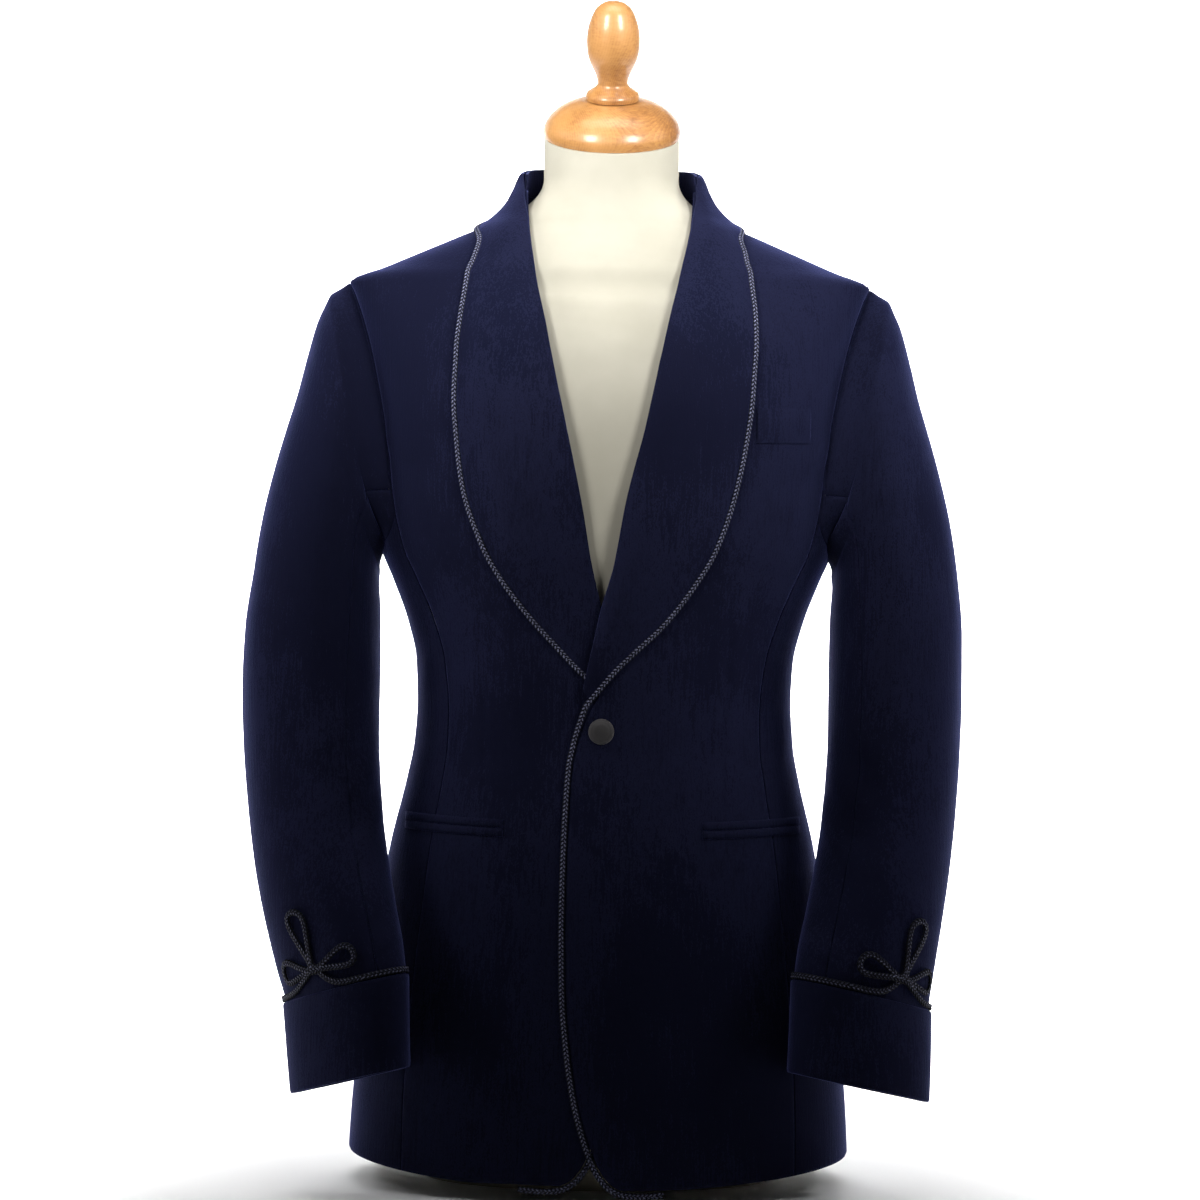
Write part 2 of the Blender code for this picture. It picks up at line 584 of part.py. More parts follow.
def make_sleeve(side, name, turns, material):
    turns = np.array(turns, float)
    turns[0] += SLEEVE_GAP
    turns[-1] -= SLEEVE_GAP
    s = SLEEVE_ROWS[:, None]
    outer = sleeve_point(side, s, (turns % 360)[None, :])
    inner = sleeve_point(side, s, (turns % 360)[None, :], -CLOTH)
    return wall(name, outer, inner, material)


def all_turns():
    half = ARMHOLE[:, 0]
    return np.concatenate([half, 360 - half[-2:0:-1]])


def make_cuff(side, name, material):
    turns = all_turns()[None, :]
    s = np.array([CUFF_TOP, CUFF_TOP + 1, SLEEVE_LAST], float)[:, None]
    outer = sleeve_point(side, s, turns, CUFF_OUTSIDE)
    inner = sleeve_point(side, s, turns, CUFF_INSIDE)
    return wall(name, outer, inner, material, ring=True)


def patch_piece(name, box, side, columns, material):
    """A flat piece lying on the body, from its points moved out."""
    x0, x1, z0, z1, rise = box
    share = np.linspace(0, 1, columns)
    rows = []
    for z in (z0, z1):
        height = z + rise * share
        angle = angle_at(side * (x0 + (x1 - x0) * share), height)
        rows.append((angle, height))
    outer = np.array([body_point(a, z, CLOTH + SEAM) for a, z in rows])
    inner = np.array([body_point(a, z, SEAM) for a, z in rows])
    return wall(name, outer, inner, material)


def edge_frames(angle, z, lift):
    """Centres, widths' and thicknesses' directions of a cord lying on the body."""
    centre = body_point(angle, z, lift)
    out = unit(body_point(angle, z, lift + MM) - centre)
    along = unit(np.gradient(centre, axis=0))
    return centre, unit(np.cross(along, out)), out


def edge_path(side):
    """Angle, height and lift of the braid from centre back down the shawl's edge."""
    rows = shawl_rows(side, 0.0, 61)[::-1]
    place = np.linspace(1, 0, len(rows))
    lift = shawl_lift(side, np.ones(len(rows)), place, rows[:, 2], rows[:, 3]) - CLOTH / 2
    path = np.column_stack([rows[:, 2], rows[:, 3], lift])
    path[0, 0] -= side * half_seam(BEHIND, NECK_SEAM)
    return path


def make_edge_braid_left(name, material):
    path = edge_path(1)
    edge = resample(FRONT_EDGE[1:], BRAID_STEP / 2)
    angle = angle_at(edge[:, 0], edge[:, 1])
    drop = path[-1, 2] + (-CLOTH / 2 - path[-1, 2]) * fade(0.385, 0.352, edge[:, 1])
    path = np.vstack([path, np.column_stack([angle, edge[:, 1], drop])])
    return cord_on_body(name, path, material)


def make_hem_braid_right(name, material):
    edge = FRONT_EDGE[FRONT_EDGE[:, 1] < CORNER_TOP]
    edge = np.column_stack([-edge[:, 0] - UNDERLAP_SHIFT[0], edge[:, 1] + UNDERLAP_SHIFT[1]])
    edge = resample(edge, BRAID_STEP / 2)
    angle = angle_at(edge[:, 0], edge[:, 1])
    lift = underlap(edge[:, 0], edge[:, 1]) - CLOTH / 2
    return cord_on_body(name, np.column_stack([angle, edge[:, 1], lift]), material)


def cord_on_body(name, path, material):
    points = body_point(path[:, 0], path[:, 1])
    crowd = 1 + CORNER_CROWD * (1 - fade(0.04, CORNER_TOP, path[1:, 1]))
    weight = crowd * np.linalg.norm(np.diff(points, axis=0), axis=1)
    length = np.concatenate([[0], np.cumsum(weight)])
    table = np.column_stack([length, path])
    at = np.linspace(0, length[-1], round(length[-1] / BRAID_STEP) + 1)
    angle, z, lift = [smooth(table, k, at) for k in (1, 2, 3)]
    centre, across, out = edge_frames(angle, z, lift)
    return cord(name, centre, across, out, material)


def knot_loop(heading, length, width):
    """A teardrop from the knot's middle and back beside it, in its own plane."""
    t = np.linspace(KNOT_OPEN, 1 - KNOT_OPEN, KNOT_SIDES)
    forward = np.sin(np.pi * t) ** 0.8 * length
    aside = np.sin(2 * np.pi * t) * width / 2 * (0.55 + 0.45 * np.sin(np.pi * t))
    forward = np.concatenate([[KNOT_FOOT], forward, [KNOT_FOOT]])
    aside = np.concatenate([[KNOT_FOOT], aside, [-KNOT_FOOT]])
    h = math.radians(heading)
    return np.column_stack([forward * math.sin(h) + aside * math.cos(h),
                            forward * math.cos(h) - aside * math.sin(h)]) * MM


def sleeve_frames(side, s, turn, lift, closed):
    centre = sleeve_point(side, s, turn, lift)
    out = unit(sleeve_point(side, s, turn, lift + MM) - centre)
    if closed:
        along = unit(np.roll(centre, -1, axis=0) - np.roll(centre, 1, axis=0))
    else:
        along = unit(np.gradient(centre, axis=0))
    return centre, unit(np.cross(along, out)), out


def section_above(side, turn, distance):
    """Section number this far above the cuff's top edge, measured down the sleeve."""
    s = np.arange(CUFF_TOP - 6.0, CUFF_TOP + 0.1, 0.25)
    line = sleeve_point(side, s, np.full_like(s, turn))
    steps = np.linalg.norm(np.diff(line, axis=0), axis=1)
    below = np.concatenate([np.cumsum(steps[::-1])[::-1], [0]])
    return np.interp(distance, below[::-1], s[::-1])


def knot_place(side, across, up):
    """Section and turn of a point of the knot, from its place beside the knot's middle."""
    s = section_above(side, KNOT_TURN[side], up + KNOT_RISE)
    return s, (KNOT_TURN[side] - np.degrees(across / KNOT_RADIUS)) % 360


def make_cuff_braid(side, name, material):
    """The cord round the cuff's top edge with its loops, joined to one body."""
    turns = all_turns()
    s = np.array([section_above(side, t, BRAID_WIDTH / 2 + BRAID_GAP) for t in turns])
    lift = CUFF_CORD_LIFT
    body = cord(name, *sleeve_frames(side, s, turns, lift, True), material, closed=True)
    low = BRAID_WIDTH / 2 + BRAID_GAP - KNOT_RISE
    rise = np.linspace(low, KNOT_TOP, 4)
    place = knot_place(side, np.zeros_like(rise), rise)
    frames = sleeve_frames(side, *place, lift + KNOT_STACK, False)
    pieces = [cord(name + "_middle", *frames, material, width=KNOT_WIDTH)]
    for number, (heading, length, width) in enumerate(KNOT_LOOPS):
        loop = knot_loop(heading, length, width)
        place = knot_place(side, loop[:, 0], loop[:, 1])
        frames = sleeve_frames(side, *place, lift + (number + 2) * KNOT_STACK, False)
        pieces.append(cord(name + "_loop", *frames, material))
    for piece in pieces:
        joined = body.modifiers.new("join", "BOOLEAN")
        joined.operation = "UNION"
        joined.object = piece
        piece.hide_render = True
        piece.display_type = "WIRE"
        bpy.data.collections[COLLECTION].objects.unlink(piece)
        bpy.data.collections["guides"].objects.link(piece)
    return body


def turned(name, profile, steps, material, place):
    """A turned solid: its profile from the top down, in millimetres, screwed round its axis."""
    bm = bmesh.new()
    points = [bm.verts.new((r * MM, 0.0, z * MM)) for r, z in profile]
    for a, b in zip(points, points[1:]):
        bm.edges.new((a, b))
    mesh = bpy.data.meshes.new(name)
    bm.to_mesh(mesh)
    bm.free()
    mesh.materials.append(material)
    thing = bpy.data.objects.new(name, mesh)
    bpy.data.collections[COLLECTION].objects.link(thing)
    screw = thing.modifiers.new("turn", "SCREW")
    screw.steps = steps
    screw.render_steps = steps
    screw.use_merge_vertices = True
    screw.merge_threshold = 0.0001
    screw.use_smooth_shade = True
    thing.matrix_world = place
    return thing


def neck_blend(z):
    return fade(0.762, 0.796, z)


def make_torso(name, columns, material):
    """The form's torso and neck: rings inside the jacket, its base flat on z = 0."""
    angle = np.arange(0, 360, 360 / columns)
    turn = np.radians(angle)
    circle = np.stack([NECK_RADIUS * np.sin(turn), NECK_Y - NECK_RADIUS * np.cos(turn)], axis=1)
    rings = []
    for z in FORM_ROWS:
        inset = float(smooth(FORM_INSET, 1, z))
        body = body_point(angle, np.full_like(angle, z), -inset)
        body[:, 2] = z - inset * 0.9 * float(fade(0.69, 0.711, z)) * (1 - float(neck_blend(z)))
        if z == 0.0:
            body[:, 2] = 0.0
        mix = float(neck_blend(z))
        body[:, 0] = body[:, 0] * (1 - mix) + circle[:, 0] * mix
        body[:, 1] = body[:, 1] * (1 - mix) + circle[:, 1] * mix
        rings.append(body)
    top = np.column_stack([circle, NECK_TOP + (circle[:, 1] - NECK_Y) * math.tan(CAP_TILT)])
    rings.append(top)
    bm = bmesh.new()
    loops = [[bm.verts.new(p) for p in ring] for ring in rings]
    for low, high in zip(loops, loops[1:]):
        for c in range(columns):
            d = (c + 1) % columns
            bm.faces.new((low[c], low[d], high[d], high[c]))
    bm.faces.new(loops[0])
    bm.faces.new(loops[-1])
    return new_object(name, bm, material)


def paint(name, look):
    colour, roughness, sheen = look
    material = bpy.data.materials.new(name)
    material.use_nodes = True
    shader = material.node_tree.nodes["Principled BSDF"]
    shader.inputs["Base Color"].default_value = (*colour, 1.0)
    shader.inputs["Roughness"].default_value = roughness
    shader.inputs["Metallic"].default_value = 0.0
    shader.inputs["Sheen Weight"].default_value = sheen
    material.diffuse_color = (*colour, 1.0)
    return material


def clear_scene():
    for thing in list(bpy.data.objects):
        bpy.data.objects.remove(thing, do_unlink=True)
    for name in (COLLECTION, "guides"):
        group = bpy.data.collections.new(name)
        bpy.context.scene.collection.children.link(group)


def main():
    clear_scene()
    for side, word in ((1, "left"), (-1, "right")):
        velvet = paint("velvet_" + word, NAVY_VELVET)
        braid = paint("braid_" + word, CORD)
        make_front(side, "front_" + word, 8, velvet)
        make_side(side, "side_" + word, velvet.copy())
        make_back(side, "back_" + word, 7, velvet.copy())
        make_shawl(side, "collar_" + word, velvet.copy())
        turns = [t for t in ARMHOLE[:, 0] if t <= SLEEVE_SEAM]
        top_turns = [-t for t in turns[::-1]] + turns[1:]
        make_sleeve(side, "top_sleeve_" + word, top_turns, velvet.copy())
        turns = [t for t in ARMHOLE[:, 0] if t >= SLEEVE_SEAM]
        under_turns = turns + [360 - t for t in turns[-2::-1]]
        make_sleeve(side, "under_sleeve_" + word, under_turns, velvet.copy())
        make_cuff(side, "cuff_" + word, velvet.copy())
        make_cuff_braid(side, "cuff_braid_" + word, braid)
        patch_piece("hip_jet_lower_" + word, JET_LOW, side, 8, velvet.copy())
        patch_piece("hip_jet_upper_" + word, JET_HIGH, side, 8, velvet.copy())
    patch_piece("breast_welt", WELT, 1, 5, paint("welt_velvet", NAVY_VELVET))
    make_stand("collar_stand", paint("stand_velvet", NAVY_VELVET))
    braid = paint("edge_braid", CORD)
    make_edge_braid_left("edge_braid_left", braid)
    cord_on_body("edge_braid_right", edge_path(-1), braid.copy())
    make_hem_braid_right("hem_braid_right", braid.copy())
    x, z = BUTTON
    angle = float(angle_at(x, z))
    seat = body_point(angle, z)
    out = Vector(unit(body_point(angle, z, MM) - seat))
    place = Matrix.Translation(Vector(seat)) @ out.to_track_quat("Z", "Y").to_matrix().to_4x4()
    turned("front_button", BUTTON_PROFILE, 14, paint("satin", SATIN), place)
    make_torso("form_torso", 24, paint("form_cloth", CREAM_CLOTH))
    wood = paint("beech", BEECH)
    tilt = Matrix.Translation((0, NECK_Y, NECK_TOP)) @ Matrix.Rotation(CAP_TILT, 4, "X")
    turned("form_neck_cap", CAP_PROFILE, 22, wood, tilt)
    turned("form_finial", FINIAL_PROFILE, 16, wood.copy(), tilt @ Matrix.Translation((0, 0, CAP_HEIGHT)))


main()
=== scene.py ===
import math
import bmesh
import bpy
import numpy as np
from mathutils import Matrix, Vector


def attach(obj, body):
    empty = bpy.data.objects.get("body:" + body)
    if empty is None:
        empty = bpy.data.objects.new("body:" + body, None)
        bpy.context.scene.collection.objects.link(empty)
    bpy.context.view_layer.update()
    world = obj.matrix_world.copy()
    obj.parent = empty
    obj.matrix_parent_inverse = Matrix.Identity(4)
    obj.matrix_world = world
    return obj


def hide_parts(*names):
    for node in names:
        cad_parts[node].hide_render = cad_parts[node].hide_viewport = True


MM = 0.001
CLOTH = 1.8 * MM
SEAM = 0.3 * MM
# Exponent of the body's rings, between an ellipse's 2 and a box.
ROUNDNESS = 2.1
# Steps that the skins' directions are taken over: degrees round, metres up, sleeve sections.
ROUND_STEP = 0.5
RISE_STEP = 2 * MM
SECTION_STEP = 0.15
SLEEVE_ROUND_STEP = 2
# The angle just beside centre back where widths are measured.
BEHIND = 179.0

BRAID_WIDTH = 5.4 * MM
BRAID_THICKNESS = 2.4 * MM
BRAID_GAP = 0.6 * MM

# Rings of the jacket's body: height, half width, depth in front, depth behind.
BODY = np.array([
    (0.000, 0.2000, 0.140, 0.127), (0.059, 0.1970, 0.137, 0.124), (0.130, 0.1900, 0.131, 0.118),
    (0.200, 0.1800, 0.124, 0.112), (0.267, 0.1685, 0.117, 0.104), (0.315, 0.1570, 0.110, 0.095),
    (0.347, 0.1510, 0.106, 0.089), (0.379, 0.1490, 0.105, 0.085), (0.411, 0.1505, 0.107, 0.085),
    (0.443, 0.1580, 0.111, 0.089), (0.475, 0.1700, 0.116, 0.096), (0.500, 0.1800, 0.120, 0.102),
    (0.550, 0.1870, 0.124, 0.110), (0.600, 0.1900, 0.125, 0.115), (0.650, 0.1950, 0.117, 0.112),
    (0.680, 0.2000, 0.105, 0.108), (0.700, 0.2050, 0.093, 0.102), (0.711, 0.2080, 0.085, 0.097),
    (0.7235, 0.1790, 0.077, 0.091), (0.736, 0.1500, 0.070, 0.085), (0.748, 0.1220, 0.064, 0.080),
    (0.760, 0.0950, 0.059, 0.075), (0.775, 0.0780, 0.056, 0.071), (0.790, 0.0700, 0.054, 0.068),
    (0.830, 0.0660, 0.052, 0.066)])
# Height of the hem by the angle round the body from centre front, and where its rise is all gone.
HEM = np.array([(0, 0.0106), (20, 0.0109), (28, 0.0114), (45, 0.0140), (90, 0.022), (180, 0.025)])
HEM_FADE = 0.12

# Armhole: turn from the shoulder tip, and x over the ring's half width in front and behind.
ARMHOLE_CENTRE = 0.6055
ARMHOLE_HALF = 0.1055
ARMHOLE = np.array([
    (0, 1.0, 1.0), (21, 0.991, 0.991), (42, 0.979, 0.977), (63, 0.960, 0.952), (84, 0.938, 0.928),
    (105, 0.915, 0.911), (125, 0.907, 0.905), (139, 0.902, 0.912), (153, 0.935, 0.940),
    (166, 0.974, 0.976), (180, 1.0, 1.0)])
SLEEVE_SEAM = 125
SIDE_SEAM = 139
SHOULDER_TIP = ARMHOLE_CENTRE + ARMHOLE_HALF
# Side seams: height, x over half width of the front seam and of the back seam.
SIDE_SEAMS = np.array([
    (0.00, 0.767, 0.74), (0.28, 0.80, 0.76), (0.38, 0.82, 0.78), (0.45, 0.86, 0.84),
    (0.526, 0.902, 0.912)])
# Height at which the body's panels end at the neck.
NECK_SEAM = 0.785

# Centre line of the braid down the wearer's left front edge and round the corner: x, z.
FRONT_EDGE = np.array([
    (-0.0112, 0.382), (-0.0148, 0.376), (-0.0182, 0.366), (-0.0216, 0.3554), (-0.0241, 0.3448),
    (-0.0266, 0.3324), (-0.0284, 0.306), (-0.0301, 0.261), (-0.0307, 0.2155), (-0.0294, 0.1545),
    (-0.0262, 0.120), (-0.0191, 0.0756), (-0.0144, 0.0572), (-0.0089, 0.0407), (-0.0044, 0.0293),
    (0.0019, 0.0189), (0.0098, 0.0112), (0.0204, 0.0070), (0.0310, 0.0062), (0.0423, 0.0066),
    (0.0502, 0.0074)])
# Shift of the right front's edge against the mirrored left one, the heights over which it fades
# across and down, how much of it fades across, and how high the mirrored edge is followed.
UNDERLAP_SHIFT = (0.011, 0.0026)
SHIFT_FADE_ACROSS = (0.1, 0.38)
SHIFT_FADE_DOWN = (0.05, 0.3)
SHIFT_LOST = 0.6
MIRROR_TOP = 0.335
# Heights over which the right front's edge leaves for the roll line.
TO_ROLL = (0.33, 0.43)
# Heights and angles over which the lift of the right front's hem beside its edge fades.
HEM_LIFT_FADE = (0.0, 0.1)
HEM_LIFT_TURN = (25, 42)
# The right front's cord shows below this height of the left one's rounded corner.
CORNER_TOP = 0.055
# Inner edge of the left front under the shawl's tip, up to the roll line: z, x.
TIP_BOTTOM = 0.3554
TIP_JOIN = 0.004
TIP_TOP = 0.430
TIP_INNER = np.array([(0.3554, -0.0178), (0.366, -0.0138), (0.376, -0.0096), (0.385, -0.0042),
                      (0.397, -0.0030), (0.412, -0.0088), (0.430, -0.0085)])
# Shawl stations from the bottom up: roll line x, z and centre of the edge braid x, z.
LEFT_SHAWL = np.array([
    (-0.0165, 0.391, -0.0112, 0.382), (-0.0085, 0.430, 0.0085, 0.406),
    (-0.0034, 0.454, 0.0240, 0.4215), (0.0054, 0.485, 0.0483, 0.446),
    (0.0146, 0.537, 0.0822, 0.497), (0.0278, 0.590, 0.1015, 0.560),
    (0.0395, 0.647, 0.1107, 0.630), (0.0471, 0.682, 0.1125, 0.669),
    (0.0564, 0.723, 0.1095, 0.705), (0.0627, 0.753, 0.1048, 0.7305),
    (0.0655, 0.775, 0.1012, 0.7445), (0.0672, 0.797, 0.0960, 0.7610)])
RIGHT_SHAWL = np.array([
    (0.0080, 0.405, -0.0130, 0.3990), (0.0045, 0.420, -0.0200, 0.4050),
    (-0.0034, 0.454, -0.0330, 0.418), (-0.0113, 0.487, -0.0600, 0.4475),
    (-0.0191, 0.532, -0.0890, 0.490), (-0.0303, 0.586, -0.1110, 0.549),
    (-0.0398, 0.629, -0.1172, 0.600), (-0.0489, 0.673, -0.1170, 0.648),
    (-0.0572, 0.710, -0.1133, 0.688), (-0.0635, 0.750, -0.1065, 0.723),
    (-0.0665, 0.775, -0.1020, 0.7420), (-0.0682, 0.797, -0.0968, 0.7600)])
# The shawl behind the neck: angle, height of the fold and height of the fall's edge.
NECK_FOLD = np.array([(84, 0.799, 0.7600), (96, 0.802, 0.7605), (112, 0.806, 0.762),
                      (130, 0.809, 0.764), (150, 0.811, 0.766), (180, 0.812, 0.767)])
# Lift of the shawl's face over the front, across it from the roll line to the edge.
SHAWL_ROLL = np.array([(0.0, 3.5), (0.08, 5.2), (0.33, 7.2), (0.7, 5.4), (1.0, 3.4)])
SHAWL_FLAT = 3.0 * MM
# Share up the shawl where each side's face begins to roll, and the reach of that change.
ROLL_FROM = {1: 0.0, -1: 0.16}
ROLL_REACH = (0.03, 0.16)
# The soft ridge of each side: its height, its place and half width across, where it comes and goes.
RIDGE_HEIGHT = {1: 0.5 * MM, -1: 1.5 * MM}
RIDGE_ACROSS = 0.74
RIDGE_WIDTH = 0.11
RIDGE_START = (0.06, 0.2)
RIDGE_END = (0.42, 0.62)
# How far the right front lies under the left one, low and high, and where that changes and ends.
UNDERLAP_LOW = 3.0 * MM
UNDERLAP_HIGH = 5.6 * MM
UNDERLAP_DEEPENS = (0.30, 0.36)
UNDERLAP_ACROSS = (-0.085, -0.038)
UNDERLAP_END = (0.50, 0.58)

# Sleeve sections: outer x, z; inner x, z; half depth; centre y; skew in degrees.
SLEEVE = np.array([
    (0.2225, 0.7005, 0.1815, 0.5005, 0.0630, 0.000, 0),
    (0.2325, 0.6800, 0.1824, 0.4930, 0.0650, 0.000, 0),
    (0.2405, 0.6520, 0.1822, 0.4850, 0.0660, 0.000, 0),
    (0.2480, 0.6220, 0.1816, 0.4760, 0.0665, 0.000, 0),
    (0.2570, 0.5920, 0.1810, 0.4650, 0.0665, 0.000, 0),
    (0.2660, 0.5600, 0.1800, 0.4520, 0.0660, 0.000, 0),
    (0.2745, 0.5230, 0.1795, 0.4340, 0.0650, -0.001, 0),
    (0.2810, 0.4800, 0.1790, 0.4110, 0.0640, -0.003, 1),
    (0.2848, 0.4350, 0.1787, 0.3840, 0.0625, -0.006, 2),
    (0.2850, 0.3890, 0.1783, 0.3530, 0.0605, -0.011, 4),
    (0.2835, 0.3430, 0.1762, 0.3200, 0.0580, -0.019, 6),
    (0.2800, 0.2970, 0.1725, 0.2860, 0.0545, -0.030, 8),
    (0.2740, 0.2510, 0.1665, 0.2530, 0.0505, -0.049, 10),
    (0.2660, 0.2060, 0.1590, 0.2190, 0.0465, -0.068, 12),
    (0.2590, 0.1700, 0.1520, 0.1900, 0.0430, -0.084, 14),
    (0.2550, 0.1455, 0.1490, 0.1680, 0.0405, -0.093, 15),
    (0.2540, 0.1140, 0.1475, 0.1360, 0.0385, -0.100, 15),
    (0.2530, 0.0770, 0.1462, 0.0985, 0.0370, -0.106, 15)])
SLEEVE_LAST = len(SLEEVE)
# Half the gap between the sleeve's two pieces, in degrees.
SLEEVE_GAP = 0.16
CUFF_TOP = 16
CUFF_OUTSIDE = 2.4 * MM
CUFF_INSIDE = 0.6 * MM
CUFF_TILT = math.tan(math.radians(7.9))
# The cuff's soft wave round it: height, waves and their start in degrees.
CUFF_WAVE = (0.45 * MM, 3, 40)
# The right cuff hangs turned: change of outer x, half depth and skew by section number.
RIGHT_TURN = np.array([(8, 0.000, 0.0, 0), (10, 0.004, 0.000, 4), (13, 0.001, 0.001, 12),
                       (16, -0.0095, 0.0075, 20), (18, -0.0155, 0.0100, 22)])

# The three-loop knot's turn round each sleeve, the wearer's left at 1 and right at -1.
KNOT_TURN = {1: 60, -1: 69}
# Height of the knot's middle above the cuff's top edge, and the sleeve's radius there.
KNOT_RISE = 17 * MM
KNOT_RADIUS = 0.050
# Heading from straight up, length and width of each loop, in millimetres.
KNOT_LOOPS = ((-76, 34, 19), (8, 49, 16), (82, 31, 19))
KNOT_ORDER = (2, 1, 0)
# The cord's way into the knot and out of it, in millimetres beside and above the knot's foot.
KNOT_ENTRY = ((-36, 0), (-26, 0), (-18, 0.8), (-11, 4.0), (-5.5, 9.5), (-2.3, 13.4))
KNOT_LEAVE = ((2.3, 13.4), (7, 10.2), (13, 6.6), (20, 3.0), (27, 0.8), (36, 0))
# Cords of the knot cross this high above each other, and this clear of the sleeve.
KNOT_CROSS = 0.55 * MM
CORD_CLEAR = 0.2 * MM
# Painted shade on the cuffs' cord: the painted highlights on its strands are this share of the front cord's,
# standing in for the dimmer light low on the sleeves.
CUFF_CORD_SHADE = 0.80

# The button's place in x, z and its profile in millimetres: radius, height.
BUTTON = (-0.002, 0.3585)
BUTTON_PROFILE = ((0.0, 3.9), (4.0, 3.7), (7.2, 3.0), (9.4, 1.9), (10.0, 1.0), (9.4, 0.3), (0.0, 0.3))

# Pocket pieces: first x, last x, low and high z at the first end, rise to the last end.
WELT = (0.1145, 0.1575, 0.5825, 0.6095, 0.0015)
JET_LOW = (0.0770, 0.1550, 0.2765, 0.2828, 0.0020)
JET_HIGH = (0.0770, 0.1550, 0.2833, 0.2896, 0.0020)

# Dress form: height and how far its skin lies inside the jacket's outer face.
FORM_INSET = np.array([
    (0.00, 0.062), (0.06, 0.044), (0.12, 0.033), (0.20, 0.025), (0.30, 0.019), (0.38, 0.016),
    (0.45, 0.014), (0.52, 0.012), (0.60, 0.011), (0.65, 0.010), (0.70, 0.0085), (0.711, 0.0070),
    (0.7235, 0.0029), (0.762, 0.0027)])
# The neck: radius, place and top, and the heights over which the body turns into it.
NECK_RADIUS = 0.054
NECK_Y = 0.004
NECK_TOP = 0.8312
NECK_START = (0.762, 0.796)
CAP_TILT = math.radians(21.5)
CAP_HEIGHT = 0.0303
CAP_PROFILE = ((0, 30.3), (12, 30.2), (20, 29.8), (27, 28.7), (34, 26.7), (42.3, 22.4), (49.4, 16.4),
               (53.2, 11.0), (54.7, 6.6), (54.9, 3.8), (54.2, 0.3), (0, 0.3))
FINIAL_PROFILE = (
    (0, 79.4), (6.0, 78.5), (11.0, 75.9), (14.8, 72.0), (18.1, 64.9), (20.3, 56.8), (21.3, 47.4),
    (20.9, 40.0), (19.2, 32.6), (15.9, 25.0), (13.1, 18.6), (12.1, 13.4), (13.9, 10.4), (17.5, 7.8),
    (20.6, 5.4), (21.5, 3.2), (21.1, 0.3), (0, 0.3))


def smooth(table, column, at):
    """Monotone cubic through a table's first column and the named one."""
    x = table[:, 0]
    y = table[:, column]
    at = np.clip(np.asarray(at, float), x[0], x[-1])
    step = np.diff(x)
    slope = np.diff(y) / step
    m = np.zeros_like(y)
    same = slope[:-1] * slope[1:] > 0
    w1 = 2 * step[1:] + step[:-1]
    w2 = step[1:] + 2 * step[:-1]
    safe_a = np.where(same, slope[:-1], 1.0)
    safe_b = np.where(same, slope[1:], 1.0)
    m[1:-1] = np.where(same, (w1 + w2) / (w1 / safe_a + w2 / safe_b), 0.0)
    m[0] = slope[0]
    m[-1] = slope[-1]
    i = np.clip(np.searchsorted(x, at, side="right") - 1, 0, len(x) - 2)
    t = (at - x[i]) / step[i]
    h00 = (1 + 2 * t) * (1 - t) ** 2
    h10 = t * (1 - t) ** 2
    h01 = t * t * (3 - 2 * t)
    h11 = t * t * (t - 1)
    return h00 * y[i] + h10 * step[i] * m[i] + h01 * y[i + 1] + h11 * step[i] * m[i + 1]


def fade(low, high, at):
    """0 below low, 1 above high, smooth between."""
    t = np.clip((np.asarray(at, float) - low) / (high - low), 0, 1)
    return t * t * (3 - 2 * t)


def unit(v):
    return v / np.linalg.norm(v, axis=-1, keepdims=True)


def lengths(points):
    """Length along a line of points up to each of them."""
    return np.concatenate([[0], np.cumsum(np.linalg.norm(np.diff(points, axis=0), axis=1))])


def smooth_all(table, at):
    """Every column after the first, by smooth."""
    return [smooth(table, k, at) for k in range(1, table.shape[1])]


def between(first, last, share):
    """Values from first to last, a row for each of them, across the shares."""
    return first[:, None] + (last - first)[:, None] * share


def ring_point(angle, z):
    """A point of the body's skin: angle in degrees from centre front towards the wearer's left."""
    turn = np.radians(angle)
    s = np.sin(turn)
    c = np.cos(turn)
    half = smooth(BODY, 1, z)
    depth = np.where(c >= 0, smooth(BODY, 2, z), smooth(BODY, 3, z))
    r = ((np.abs(s) / half) ** ROUNDNESS + (np.abs(c) / depth) ** ROUNDNESS) ** (-1 / ROUNDNESS)
    return np.stack(np.broadcast_arrays(r * s, -r * c, np.asarray(z, float) + 0 * r), axis=-1)


def body_point(angle, z, lift=0.0):
    angle, z, lift = np.broadcast_arrays(np.asarray(angle, float), np.asarray(z, float), lift)
    across = ring_point(angle + ROUND_STEP, z) - ring_point(angle - ROUND_STEP, z)
    up = ring_point(angle, z + RISE_STEP) - ring_point(angle, z - RISE_STEP)
    return ring_point(angle, z) + lift[..., None] * unit(np.cross(across, up))


def angle_at(x, z, behind=False):
    """Angle of the body point with this x at this height."""
    x = np.asarray(x, float)
    ratio = np.clip(np.abs(x) / smooth(BODY, 1, z), 0, 1)
    depth = smooth(BODY, 3 if behind else 2, z)
    y = depth * (1 - ratio ** ROUNDNESS) ** (1 / ROUNDNESS)
    turn = np.degrees(np.arctan2(np.abs(x), y))
    return np.sign(x) * (180 - turn if behind else turn)


def seam_angle(ratio, z, behind):
    return angle_at(ratio * smooth(BODY, 1, z), z, behind)


def armhole(turn):
    """Angle and height of the armhole: turn 0 at the shoulder tip, 90 in front, 270 behind."""
    turn = np.asarray(turn, float)
    behind = turn > 180
    t = np.where(behind, 360 - turn, turn)
    z = ARMHOLE_CENTRE + ARMHOLE_HALF * np.cos(np.radians(t))
    front = seam_angle(smooth(ARMHOLE, 1, t), z, False)
    back = seam_angle(smooth(ARMHOLE, 2, t), z, True)
    return np.where(behind, back, front), z


